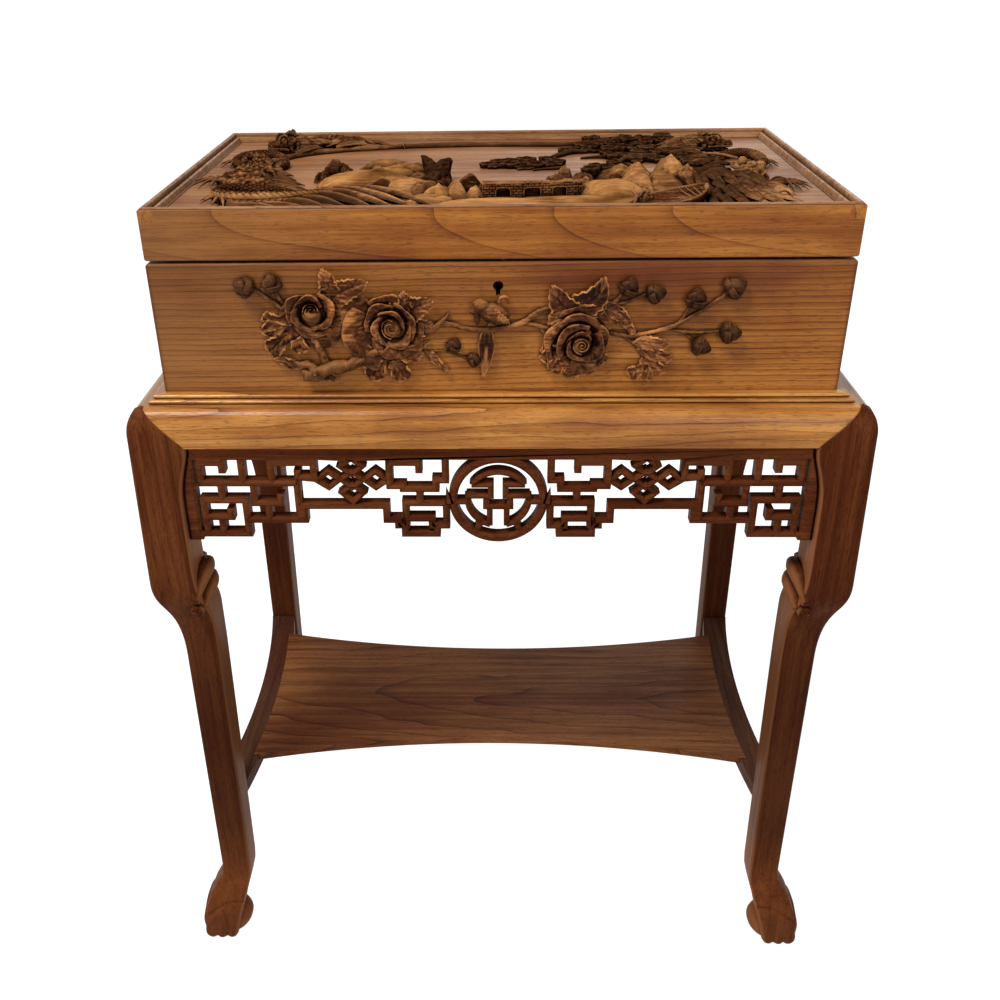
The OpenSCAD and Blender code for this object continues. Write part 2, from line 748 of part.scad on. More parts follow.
// A rocky peak: a leaning cone with few faces
module peak(x, y, r, h) {
    translate([x, y, 0] * relief + [0, 0, field_z]) rotate([0, 0, x])
        cylinder(h = h * relief, r1 = r * relief, r2 = r * relief * 0.25, $fn = 7);
}
module mountains() {
    color(carved_brown) union() {
        for (p = [[-150, -18, 26, 16], [-122, -48, 28, 20], [-96, -76, 26, 18], [-70, -100, 26, 19],
                  [-44, -122, 24, 16], [-152, -62, 22, 12], [-116, -106, 24, 13]])
            peak(p[0], p[1], p[2], p[3]);
        for (p = [[122, -20, 22, 15], [140, -44, 24, 18], [160, -70, 22, 15], [134, -82, 20, 12]])
            peak(p[0], p[1], p[2], p[3]);
        peak(70, -62, 20, 11);
    }
}
// The bridge: a wall of three arches with a parapet
bridge_l = 84 * relief;
bridge_h = 18 * relief;
bridge_t = 10 * relief;
module bridge() {
    color(carved_brown) translate([30, -132, 0] * relief + [0, 0, field_z]) difference() {
        translate([-bridge_l / 2, -bridge_t / 2, 0]) cube([bridge_l, bridge_t, bridge_h]);
        // The walk between the parapets
        translate([-bridge_l, -bridge_t * 0.3, bridge_h * 0.8])
            cube([2 * bridge_l, bridge_t * 0.5, bridge_h]);
        for (x = [-1, 0, 1] * bridge_l * 0.29) {
            translate([x, 0, bridge_h * 0.28]) rotate([90, 0, 0])
                cylinder(h = 2 * bridge_t, r = bridge_l * 0.07, center = true);
            translate([x - bridge_l * 0.07, -bridge_t, -1])
                cube([bridge_l * 0.14, 2 * bridge_t, bridge_h * 0.28 + 1]);
        }
    }
}
// Pine foliage: overlapping round pads on stalks
module pine(x, y, s) {
    for (p = [[0, 0], [15, 6], [-14, 7], [3, 16]])
        translate(([x, y, 0] + s * [p[0], p[1], 0]) * relief + [0, 0, field_z])
            cylinder(h = 8 * s * relief, r1 = 10 * s * relief, r2 = 6 * s * relief);
}
module pines() {
    color(carved_brown) union() {
        for (p = [[2, -34, 0.8], [24, -28, 0.9], [46, -36, 0.8]]) pine(p[0], p[1], p[2]);
        for (p = [[92, 30, 1], [112, 56, 1.1], [146, 62, 1.1], [122, 24, 1], [160, 30, 1], [84, 74, 0.9],
                  [120, 88, 0.9]])
            pine(p[0], p[1], p[2]);
    }
}
module boat() {
    hull_r = 46 * relief;
    color(carved_brown) translate([140, -148, 0] * relief + [0, 0, field_z]) union() {
        linear_extrude(9 * relief) intersection() {
            translate([0, hull_r * 0.74]) circle(hull_r);
            translate([0, -hull_r * 0.74]) circle(hull_r);
        }
        translate(relief * [-10, -6, 0]) cube(relief * [18, 12, 16]);
    }
}

/* Flowers, branches and the bird on the chest's front, drawn in (x, height above the body's bottom) */

// The scale of the carving, so that it fits the front both ways
carving = min(chest_w / 600, body_h / 117.5);
function on_board(x, z) = [x * carving, body_z + z * carving];
module leaf(x, z, long, wide, turn, thick = 5) {
    length = long * carving;
    width = wide * carving;
    r = (length * length + width * width) / (4 * width);
    on_front(thick * carving) translate(on_board(x, z)) rotate(turn) intersection() {
        translate([0, r - width / 2]) circle(r);
        translate([0, width / 2 - r]) circle(r);
    }
}
module twig(p, q, w, thick = 6) {
    from = on_board(p[0], p[1]);
    d = on_board(q[0], q[1]) - from;
    on_front(thick * carving) translate(from) rotate(atan2(d[1], d[0]))
        translate([0, -w * carving / 2]) square([norm(d), w * carving]);
}
module twigs(points, w) {
    for (i = [1 : len(points) - 1]) {
        twig(points[i - 1], points[i], w);
        on_front(5.6 * carving) translate(on_board(points[i][0], points[i][1])) circle(w * 0.58 * carving);
    }
}
// A round bud that stands off the front
module bud(x, z, r) {
    p = on_board(x, z);
    translate([p[0], -half_d, p[1]]) rotate([90, 0, 0]) scale(r * carving) rotate_extrude()
        polygon([[0, 0], [0.9, 0], [1, 0.3], [0.9, 0.75], [0.6, 1.1], [0, 1.3]]);
}
// A rose: ring upon ring of petals, higher towards the middle
module rose(x, z, r) {
    p = on_board(x, z);
    translate([p[0], -half_d, p[1]]) rotate([90, 0, 0]) scale(r * carving) rotate_extrude()
        polygon([[0, 0], [1, 0], [1, 0.16], [0.86, 0.32], [0.74, 0.24], [0.62, 0.48], [0.5, 0.36],
                 [0.36, 0.58], [0.24, 0.48], [0.12, 0.58], [0, 0.58]]);
}
module carving_roses_left() {
    color(carved_brown) union() {
        rose(-158, 80, 24);
        rose(-101, 62, 27);
        leaf(-136, 104, 34, 15, 40);
        leaf(-176, 102, 20, 10, -30);
        leaf(-194, 64, 24, 12, 5);
        leaf(-186, 48, 32, 13, 20);
        leaf(-66, 84, 30, 14, -20);
        leaf(-70, 58, 26, 15, 10);
        leaf(-92, 26, 46, 16, 8);
        twigs([[-160, 58], [-156, 36], [-120, 42]], 10);
        twigs([[-193, 30], [-156, 34], [-145, 18]], 9);
        twigs([[-215, 101], [-200, 92], [-178, 76]], 5);
        twigs([[-193, 101], [-186, 90]], 4);
        bud(-215, 101, 8);
        bud(-193, 101, 8);
        twigs([[-82, 42], [-60, 39], [-43, 40], [-30, 45]], 4);
        leaf(-48, 28, 22, 7, -58);
        bud(-31, 46, 7);
    }
}
module carving_bird() {
    color(carved_brown) union() {
        twigs([[-54, 52], [-42, 64], [-27, 63], [-6, 62], [20, 66], [34, 72]], 5);
        bud(3, 77, 10);
        bud(-11, 82, 7.5);
        twigs([[-17, 79], [-22, 77]], 3);
        twigs([[4, 86], [8, 91]], 4);
        leaf(-7, 40, 42, 9, 92);
        bud(-16, 34, 7);
    }
}
module carving_rose_right() {
    color(carved_brown) union() {
        rose(68, 46, 29);
        leaf(58, 92, 34, 18, 60);
        leaf(78, 94, 36, 18, 30);
        leaf(60, 68, 34, 16, -20);
        leaf(46, 30, 26, 16, -40);
    }
}
module carving_buds_right() {
    color(carved_brown) union() {
        twigs([[100, 56], [116, 54], [146, 59], [165, 67], [192, 88]], 5);
        twigs([[146, 59], [172, 60], [196, 57]], 4);
        twigs([[97, 80], [112, 92]], 4);
        twigs([[102, 80], [128, 88]], 4);
        bud(112, 97, 8);
        bud(137, 91, 8);
        bud(198, 94, 9);
        bud(170, 88, 8.5);
        bud(202, 55, 9);
        bud(180, 44, 8.5);
        leaf(108, 66, 34, 12, -55);
        leaf(126, 32, 46, 14, 88);
        twigs([[165, 67], [170, 82]], 4);
        twigs([[172, 60], [180, 48]], 4);
        twigs([[122, 55], [126, 46]], 4);
    }
}

/* Hinges */

knuckles = 5;
knuckle_l = hinge_l / knuckles;
pin_head_t = 1;
hinge_screw_r = 1.5;
hinge_screw_l = 12;
hinge_screw_y = half_d - leaf_w / 2;
hinge_screw_xs = [for (h = [-1, 1]) for (s = [-1, 0, 1]) h * hinge_span / 2 + s * hinge_l * 0.32];
// A countersunk screw at the origin, its head's face at z = 0 and its shank downwards
module countersunk(r, length) {
    translate([0, 0, -r]) cylinder(h = r, r1 = r, r2 = 2 * r);
    translate([0, 0, -length]) cylinder(h = length - r / 2, r = r);
}
// All the screws of the chest's leaves (side -1) or of the lid's leaves (side 1)
module hinge_screw_set(side) {
    z = side < 0 ? chest_leaf_z + leaf_t : lid_leaf_z;
    for (x = hinge_screw_xs) translate([x, hinge_screw_y, z]) mirror([0, 0, side < 0 ? 0 : 1])
        countersunk(hinge_screw_r, hinge_screw_l);
}
// A leaf with every second knuckle; side is -1 for the chest's and 1 for the lid's
module hinge_leaf(x, side) {
    z = side < 0 ? chest_leaf_z : lid_leaf_z;
    own = [for (i = [0 : knuckles - 1]) if ((i % 2 == 0) == (side < 0)) i];
    color(brass) difference() {
        union() {
            translate([x - hinge_l / 2, half_d - leaf_w, z]) cube([hinge_l, leaf_w, leaf_t]);
            for (i = own) translate([x - hinge_l / 2 + i * knuckle_l + run_gap / 2, 0, 0]) {
                translate([0, half_d - 1, z]) cube([knuckle_l - run_gap, hinge_y - half_d + 1, leaf_t]);
                translate([0, hinge_y, hinge_z]) rotate([0, 90, 0])
                    cylinder(h = knuckle_l - run_gap, r = barrel_r);
            }
        }
        translate([x, hinge_y, hinge_z]) rotate([0, 90, 0])
            cylinder(h = 2 * hinge_l, r = pin_r + pin_gap, center = true);
        hinge_screw_set(side);
    }
}
module hinge_chest_left() { hinge_leaf(-hinge_span / 2, -1); }
module hinge_chest_right() { hinge_leaf(hinge_span / 2, -1); }
module hinge_lid_left() { hinge_leaf(-hinge_span / 2, 1); }
module hinge_lid_right() { hinge_leaf(hinge_span / 2, 1); }
module hinge_pins() {
    color(brass) for (x = [-1, 1] * hinge_span / 2) translate([x, hinge_y, hinge_z]) rotate([0, 90, 0]) {
        cylinder(h = hinge_l, r = pin_r, center = true);
        for (s = [-1, 1]) translate([0, 0, s * (hinge_l / 2 - run_gap / 2 + pin_head_t / 2)])
            cylinder(h = pin_head_t, r = pin_r + 0.9, center = true);
    }
}
module hinge_chest_screws() { color(brass) hinge_screw_set(-1); }
module hinge_lid_screws() { color(brass) hinge_screw_set(1); }

/* Lock */

plate_t = 2;
plate_l = lock_w + 24;
lock_wall = 1.5;
lock_front = 7;
// The lock's front face stands this far inside the board
lock_y = -half_d + board_t - lock_front;
key_z = body_top - key_drop;
prong_t = 3;
prong_w = 7;
prong_y = lock_y + lock_t / 2;
prong_l = 16;
prong_x = 3;
bolt_z = body_top - 11;
bolt_h = 4;
bolt_w = 3.6;
bolt_l = 17;
guide_t = 2;
module keyhole() {
    translate([0, -half_d + far / 2 - 1, key_z]) rotate([90, 0, 0])
        cylinder(h = far, r = key_r, center = true);
    translate([-key_r * 0.42, -half_d - 1, key_z - key_r * 1.9]) cube([key_r * 0.84, far, key_r * 1.9]);
}
module lock_screw_holes() {
    for (s = [-1, 1]) translate([s * (plate_l / 2 - 6), lock_y + 3.5, body_top]) countersunk(1.5, 16);
}
module lock_case() {
    color(brass) difference() {
        union() {
            translate([-lock_w / 2, lock_y, body_top - lock_h]) cube([lock_w, lock_t, lock_h]);
            translate([-plate_l / 2, lock_y, body_top - plate_t]) cube([plate_l, lock_front, plate_t]);
        }
        difference() {
            translate([-lock_w / 2 + lock_wall, lock_y + lock_wall, body_top - lock_h + lock_wall])
                cube([lock_w - 2 * lock_wall, lock_t - 2 * lock_wall, lock_h - lock_wall - plate_t]);
            // The block that guides the bolt
            difference() {
                translate([-lock_w / 2, lock_y, bolt_z - bolt_h / 2 - run_gap - guide_t])
                    cube([lock_w / 2 - 1, lock_t, bolt_h + 2 * run_gap + 2 * guide_t]);
                translate([-far / 2, prong_y - bolt_w / 2 - run_gap, bolt_z - bolt_h / 2 - run_gap])
                    cube([far, bolt_w + 2 * run_gap, bolt_h + 2 * run_gap]);
            }
        }
        // Slot for the strike's prong
        translate([prong_x - 0.8, prong_y - prong_w / 2 - 0.8, body_top - plate_t - 1])
            cube([prong_t + 1.6, prong_w + 1.6, plate_t + 2]);
        intersection() {
            keyhole();
            translate([-far / 2, lock_y - 1, 0]) cube([far, lock_wall + 2, far]);
        }
        lock_screw_holes();
    }
}
module lock_bolt() {
    color(brass) translate([prong_x - 1 - bolt_l, prong_y - bolt_w / 2, bolt_z - bolt_h / 2])
        cube([bolt_l, bolt_w, bolt_h]);
}
strike_l = 40;
module strike_seat() {
    translate([-strike_l / 2, prong_y - prong_w / 2 - 4, lid_z - 1])
        cube([strike_l, far, 1 + lock_wall]);
    strike_screw_set();
}
module strike_screw_set() {
    for (s = [-1, 1]) translate([s * (strike_l / 2 - 6), prong_y - 4, lid_z]) mirror([0, 0, 1])
        countersunk(1.5, 14);
}
module lock_strike() {
    color(brass) difference() {
        union() {
            translate([-strike_l / 2, prong_y - prong_w / 2 - 4, lid_z])
                cube([strike_l, prong_w + 4, lock_wall]);
            translate([prong_x, prong_y - prong_w / 2, lid_z - prong_l])
                cube([prong_t, prong_w, prong_l + lock_wall]);
        }
        // Window for the bolt
        translate([prong_x - 1, prong_y - bolt_w / 2 - 0.4, bolt_z - bolt_h / 2 - 0.5])
            cube([prong_t + 2, bolt_w + 0.8, bolt_h + 1]);
        strike_screw_set();
    }
}
module lock_screws() { color(brass) lock_screw_holes(); }
module strike_screws() { color(brass) strike_screw_set(); }
module stand_screws() {
    color(brass) for (x = screw_xs) for (s = [-1, 1]) translate([x, s * screw_y, rail_z + screw_sink - 3]) {
        cylinder(h = 3, r = 4);
        cylinder(h = screw_l, r = 2);
    }
}

leg_front_left();
leg_front_right();
leg_back_left();
leg_back_right();
rail_front();
rail_back();
rail_left();
rail_right();
seat_moulding_front();
seat_moulding_back();
seat_moulding_left();
seat_moulding_right();
fret_front();
fret_back_side();
fret_left();
fret_right();
stretcher_left();
stretcher_right();
shelf();
chest_front();
chest_back();
chest_left();
chest_right();
chest_bottom();
carving_roses_left();
carving_bird();
carving_rose_right();
carving_buds_right();
lid_front();
lid_back();
lid_left();
lid_right();
lid_panel();
lid_moulding_front();
lid_moulding_back();
lid_moulding_left();
lid_moulding_right();
lid_cord();
dragon_left();
dragon_right();
mountains();
bridge();
pines();
boat();
hinge_chest_left();
hinge_chest_right();
hinge_lid_left();
hinge_lid_right();
hinge_pins();
lock_case();
lock_bolt();
lock_strike();
stand_screws();
hinge_chest_screws();
hinge_lid_screws();
lock_screws();
strike_screws();
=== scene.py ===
# %% [markdown]
# # A carved chest on its stand
# The measured chest comes from CAD: boards, rails, hinges and lock, each piece in its true place.
# This lesson dresses it. It gives the plain pieces their wood, and models again what a carver's
# chisel shaped: the fretwork's ridged bars, the legs with their paws, the flowers and the bird on
# the front, and the relief on the lid.

# %% Load the measured chest
from math import cos, hypot, pi, radians, sin

import bpy
from mathutils import Matrix, Vector, noise


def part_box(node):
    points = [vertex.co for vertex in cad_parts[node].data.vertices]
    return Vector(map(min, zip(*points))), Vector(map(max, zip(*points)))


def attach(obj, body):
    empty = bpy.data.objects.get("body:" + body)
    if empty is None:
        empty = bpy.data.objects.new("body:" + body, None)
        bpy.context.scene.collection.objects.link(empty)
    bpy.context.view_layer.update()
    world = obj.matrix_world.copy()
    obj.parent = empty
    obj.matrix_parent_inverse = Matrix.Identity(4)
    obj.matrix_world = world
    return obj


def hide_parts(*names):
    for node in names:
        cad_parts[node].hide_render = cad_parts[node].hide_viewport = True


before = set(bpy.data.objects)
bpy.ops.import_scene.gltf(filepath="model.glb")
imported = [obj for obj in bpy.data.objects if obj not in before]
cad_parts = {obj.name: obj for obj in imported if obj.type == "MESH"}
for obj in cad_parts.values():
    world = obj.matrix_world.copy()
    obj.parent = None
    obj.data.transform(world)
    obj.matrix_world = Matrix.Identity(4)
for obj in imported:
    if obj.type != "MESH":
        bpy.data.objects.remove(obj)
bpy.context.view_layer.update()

MM = 0.001

# %% [markdown]
# ## The camera and the light
# The photograph was taken from in front, from standing height, looking down on the chest. The
# camera's place was worked out from straight edges of known direction. A camera in Blender looks
# along its own -Z, so its axes are built from a heading, a tilt and a small roll.

# %% Camera
def added(operator, **settings):
    """What an operator adds, with nothing else picked."""
    bpy.ops.object.select_all(action="DESELECT")
    operator(**settings)
    return bpy.context.object


CAMERA_AT = Vector((-1.6, -1022.8, 1050.5)) * MM
HEADING, TILT, ROLL = radians(1.87), radians(27.82), radians(-0.92)
LENS, SENSOR = 37.1, 36
SHIFT = (0.0333, -0.0318)
NEAREST, FARTHEST = 0.05, 100


def aim():
    side = Vector((cos(HEADING), sin(HEADING), 0))
    ahead = Vector((-sin(HEADING), cos(HEADING), 0))
    up = Vector((0, 0, 1))
    view = ahead * cos(TILT) - up * sin(TILT)
    head = up * cos(TILT) + ahead * sin(TILT)
    right = side * cos(ROLL) + head * sin(ROLL)
    return Matrix((right, head * cos(ROLL) - side * sin(ROLL), -view)).transposed()


camera = added(bpy.ops.object.camera_add, location=CAMERA_AT, rotation=aim().to_euler())
camera.data.lens, camera.data.sensor_width = LENS, SENSOR
camera.data.shift_x, camera.data.shift_y = SHIFT
camera.data.clip_start, camera.data.clip_end = NEAREST, FARTHEST
bpy.context.scene.camera = camera
bpy.context.scene.view_settings.view_transform = "Standard"
print("camera at", tuple(round(v, 3) for v in camera.location))

# %% [markdown]
# Light in a studio comes from large soft panels: a big one above and in front, a weaker one from
# each side, and a pale room all round. The background is white only for the camera and for
# reflections, so the white adds no light to the wood.


# %% Lamps and room
def softbox(name, at, target, size, power):
    lamp = added(bpy.ops.object.light_add, type="AREA", location=at)
    lamp.name = name
    lamp.data.shape, lamp.data.size, lamp.data.energy = "DISK", size, power
    lamp.rotation_euler = (Vector(target) - Vector(at)).to_track_quat("-Z", "Y").to_euler()


softbox("light_above", (-0.9, -1.0, 2.7), (0, 0, 0.75), 0.8, 44)
softbox("light_front", (1.0, -2.6, 1.5), (0, 0, 0.5), 1.0, 20)
softbox("light_left", (-2.6, -0.6, 1.5), (0, 0, 0.5), 1.2, 14)
softbox("light_back", (0.6, 2.6, 1.9), (0, 0, 0.6), 1.2, 12)
print(len(bpy.data.lights), "lamps")

ROOM_LIGHT = 0.4


def seen_directly(tree):
    """1 for what the camera, a mirror or glass sees, and 0 for light that falls on things."""
    path = tree.nodes.new("ShaderNodeLightPath")
    seen = path.outputs["Is Camera Ray"]
    for other in ("Is Glossy Ray", "Is Transmission Ray"):
        most = tree.nodes.new("ShaderNodeMath")
        most.operation = "MAXIMUM"
        tree.links.new(seen, most.inputs[0])
        tree.links.new(path.outputs[other], most.inputs[1])
        seen = most.outputs[0]
    return seen


def white_room():
    world = bpy.data.worlds.new("room")
    bpy.context.scene.world = world
    world.use_nodes = True
    tree = world.node_tree
    level = tree.nodes.new("ShaderNodeMapRange")
    level.inputs["To Min"].default_value, level.inputs["To Max"].default_value = ROOM_LIGHT, 1.0
    tree.links.new(seen_directly(tree), level.inputs["Value"])
    tree.nodes["Background"].inputs["Color"].default_value = (1, 1, 1, 1)
    tree.links.new(level.outputs["Result"], tree.nodes["Background"].inputs["Strength"])


white_room()

# %% [markdown]
# The floor is plain and nearly white, and a faint shadow shows that the chest stands on it. A real
# white floor would throw too much light up at the wood, so the camera sees one surface and the
# chest is lit by another.

# %% Pale floor
FLOOR_PALE, FLOOR_SHADE, FLOOR_GLOW = 0.7, 0.3, 0.93
FLOOR_SIZE, FLOOR_BACK = 60, 10


def floor_material():
    """The camera sees a glowing floor, nearly white, that still takes a faint shadow. The light
    that reaches the chest from below comes off plain pale gray."""
    mat = bpy.data.materials.new("pale_floor")
    mat.use_nodes = True
    tree = mat.node_tree
    tree.nodes.remove(tree.nodes["Principled BSDF"])
    plain, shade = tree.nodes.new("ShaderNodeBsdfDiffuse"), tree.nodes.new("ShaderNodeBsdfDiffuse")
    plain.inputs["Color"].default_value = (FLOOR_PALE,) * 3 + (1,)
    shade.inputs["Color"].default_value = (FLOOR_SHADE,) * 3 + (1,)
    glow, both = tree.nodes.new("ShaderNodeEmission"), tree.nodes.new("ShaderNodeAddShader")
    glow.inputs["Strength"].default_value = FLOOR_GLOW
    pick = tree.nodes.new("ShaderNodeMixShader")
    tree.links.new(shade.outputs[0], both.inputs[0])
    tree.links.new(glow.outputs[0], both.inputs[1])
    tree.links.new(seen_directly(tree), pick.inputs[0])
    tree.links.new(plain.outputs[0], pick.inputs[1])
    tree.links.new(both.outputs[0], pick.inputs[2])
    tree.links.new(pick.outputs[0], tree.nodes["Material Output"].inputs["Surface"])
    return mat


floor = added(bpy.ops.mesh.primitive_plane_add, size=FLOOR_SIZE, location=(0, FLOOR_BACK, 0))
floor.name = "floor"
floor.data.materials.append(floor_material())

# %% [markdown]
# ## Wood
# A board shows three things at once: growth rings, cut open as long dark lines or as arches, finer
# streaks, and short dark pores. The rings are cylinders round the trunk's heart, so a Wave texture
# of rings round a tilted axis gives lines and arches as the saw would. Noise stretched along the
# grain gives the streaks and the pores. Every board reads Object coordinates, which are the
# chest's own metres, so boards of one kind are cut from other places of the trunk, as real ones are.


# %% Colour and node helpers
def tone(red, green, blue):
    """A colour given on the usual 0 to 255 scale, as the linear colour that sockets hold."""
    return tuple(((c / 255 + 0.055) / 1.055) ** 2.4 for c in (red, green, blue)) + (1,)


def deeper(colour, share):
    """A share of a colour's light, as in the depth of a crack."""
    return tuple(c * share for c in colour[:3]) + (1,)


# %% A recipe for a material
class Recipe:
    """A new material and short ways to add its nodes."""

    def __init__(self, name):
        self.mat = bpy.data.materials.new(name)
        self.mat.use_nodes = True
        self.tree = self.mat.node_tree
        self.shader = self.tree.nodes["Principled BSDF"]
        spots = self.tree.nodes.new("ShaderNodeTexCoord").outputs
        self.place, self.facing = spots["Object"], spots["Normal"]

    def add(self, kind, inputs=(), **settings):
        node = self.tree.nodes.new("ShaderNode" + kind)
        for key, value in settings.items():
            setattr(node, key, value)
        for key, value in dict(inputs).items():
            self.feed(value, node.inputs[key])
        return node

    def feed(self, value, socket):
        if isinstance(value, bpy.types.NodeSocket):
            self.tree.links.new(value, socket)
        else:
            socket.default_value = value

    def moved(self, place, at=(0, 0, 0), turn=(0, 0, 0), size=(1, 1, 1)):
        return self.add("Mapping", {"Vector": place, "Location": at, "Rotation": turn,
                                    "Scale": size}).outputs["Vector"]

    def noise(self, place, scale, detail=3.0, rough=0.55):
        return self.add("TexNoise", {"Vector": place, "Scale": scale, "Detail": detail,
                                     "Roughness": rough}).outputs

    def patches(self, place, at, size, *rest):
        """Noise as one number, in a space that was moved and stretched first."""
        return self.noise(self.moved(place, at=at, size=size), 1.0, *rest)["Fac"]

    def math(self, operation, a, b=0.0):
        return self.add("Math", {0: a, 1: b}, operation=operation).outputs[0]

    def plus(self, a, b):
        return self.math("ADD", a, b)

    def times(self, a, b):
        return self.math("MULTIPLY", a, b)

    def axes(self, vector):
        return self.add("SeparateXYZ", {0: vector}).outputs

    def ranged(self, value, low, high, to_low=0.0, to_high=1.0):
        return self.add("MapRange", {"Value": value, "From Min": low, "From Max": high,
                                     "To Min": to_low, "To Max": to_high}).outputs["Result"]

    def mix(self, amount, a, b):
        node = self.add("Mix", data_type="RGBA")
        self.feed(amount, node.inputs[0])
        self.feed(a, node.inputs[6])
        self.feed(b, node.inputs[7])
        return node.outputs[2]

    def tinge(self, colour, value, low, high, amount, other):
        """Mixes the other colour in: none where the value is low, and the full amount where high."""
        return self.mix(self.ranged(value, low, high, 0, amount), colour, other)

    def painted_hollow_shade(self, colour, reach, samples, low, high, amount, dark):
        """Painted shade: darkens what lies deep between its neighbours."""
        open_air = self.add("AmbientOcclusion", {"Distance": reach}, samples=samples).outputs["AO"]
        return self.mix(self.ranged(open_air, low, high, amount, 0), colour, dark)

    def finish(self, colour, roughness, gloss, height, strength, distance):
        self.feed(colour, self.shader.inputs["Base Color"])
        self.feed(roughness, self.shader.inputs["Roughness"])
        self.shader.inputs["Specular IOR Level"].default_value = gloss
        self.bump(height, strength, distance)
        return self.mat

    def ramp(self, value, *stops):
        node = self.add("ValToRGB", {"Fac": value})
        band = node.color_ramp
        while len(band.elements) < len(stops):
            band.elements.new(0.5)
        for element, (at, colour) in zip(band.elements, stops):
            element.position, element.color = at, colour
        return node.outputs["Color"]

    def bump(self, height, strength, distance):
        out = self.add("Bump", {"Height": height, "Strength": strength, "Distance": distance})
        self.tree.links.new(out.outputs["Normal"], self.shader.inputs["Normal"])


# %% Directions, shades and places
ALONG = {"X": (0, 0, 0), "Y": (0, 0, radians(-90)), "Z": (0, radians(90), 0)}
LID_HALF, CHEST_HALF = (313, 188), (300, 175)
# painted colours: the first is the shade of grooves on the lid's rim, the second a sheen on faces that
# look up, the third light on faces that look to the middle
PAINTED_GROOVE_DARK, TOP_SHEEN, INNER_PAINTED_LIGHT = tone(34, 18, 10), tone(186, 140, 100), tone(160, 104, 66)
RED_STAIN, SHADED = tone(112, 44, 20), tone(84, 38, 20)
# where a shade begins and where it is full: for faces that look up, and then places in metres
UP, LEFT_END, INWARD = (0.6, 0.9), (-0.08, -0.31), (-0.1, -0.22)
CHEST_TOP, CHEST_ENDS = (0.735, 0.815), (0.2965, 0.2995)
SHIN, ANKLE, PAW, LID_FRONT = (0.52, 0.36), (0.05, 0.16), (0.12, 0.04), (0.845, 0.801)


# %% Rings and lines
def year_rings(w, grain, heart, tilt, ring, seed, sway):
    """Rings round a heart in mm that lies across the grain, and the wandering space they are in."""
    drift = w.noise(w.moved(grain, at=(seed, seed, 0), size=(2.6, 9, 9)), 1.0)["Color"]
    bend = w.add("VectorMath", {0: drift, 1: (0.5, 0.5, 0.5)}, operation="SUBTRACT")
    bend = w.add("VectorMath", {0: bend.outputs[0], "Scale": sway}, operation="SCALE")
    curved = w.add("VectorMath", {0: grain, 1: bend.outputs[0]}, operation="ADD").outputs[0]
    trunk = w.moved(curved, at=(0, -heart[0] * MM, -heart[1] * MM),
                    turn=(0, radians(tilt[0]), radians(tilt[1])))
    rings = w.add("TexWave", {"Vector": trunk, "Scale": pi / 10 / (ring * MM), "Distortion": 1.2,
                              "Detail": 3.0, "Detail Scale": 0.4},
                  wave_type="RINGS", rings_direction="X", wave_profile="SAW").outputs["Fac"]
    return rings, curved


def swept_lines(w, curved, apart):
    """Lines that sweep down the lid's front, some mm apart."""
    at = w.axes(curved)
    down = w.math("POWER", w.ranged(at["Z"], *LID_FRONT), 2.2)
    run = w.times(w.math("SUBTRACT", at["X"], 0.045), 1 / (apart * MM))
    run = w.plus(run, w.times(w.math("SINE", w.times(run, 1.9)), 0.24))
    return w.math("FRACT", w.math("SUBTRACT", run, down))


def painted_groove_lines(w, colour, place, faces, rim):
    """Painted groove shade: dark lines along a top edge, each a depth in from the lid's edge and half
    a width, in mm.
    """
    for depth, half in rim:
        across, back = (w.math("SUBTRACT", reach * MM, w.math("ABSOLUTE", place[axis]))
                        for reach, axis in zip(LID_HALF, "XY"))
        gap = w.math("ABSOLUTE", w.math("SUBTRACT", w.math("MINIMUM", across, back), depth * MM))
        line = w.times(w.ranged(gap, half * MM, (half + 0.5) * MM, 0.92, 0), w.ranged(faces["Z"], *UP))
        colour = w.mix(line, colour, PAINTED_GROOVE_DARK)
    return colour


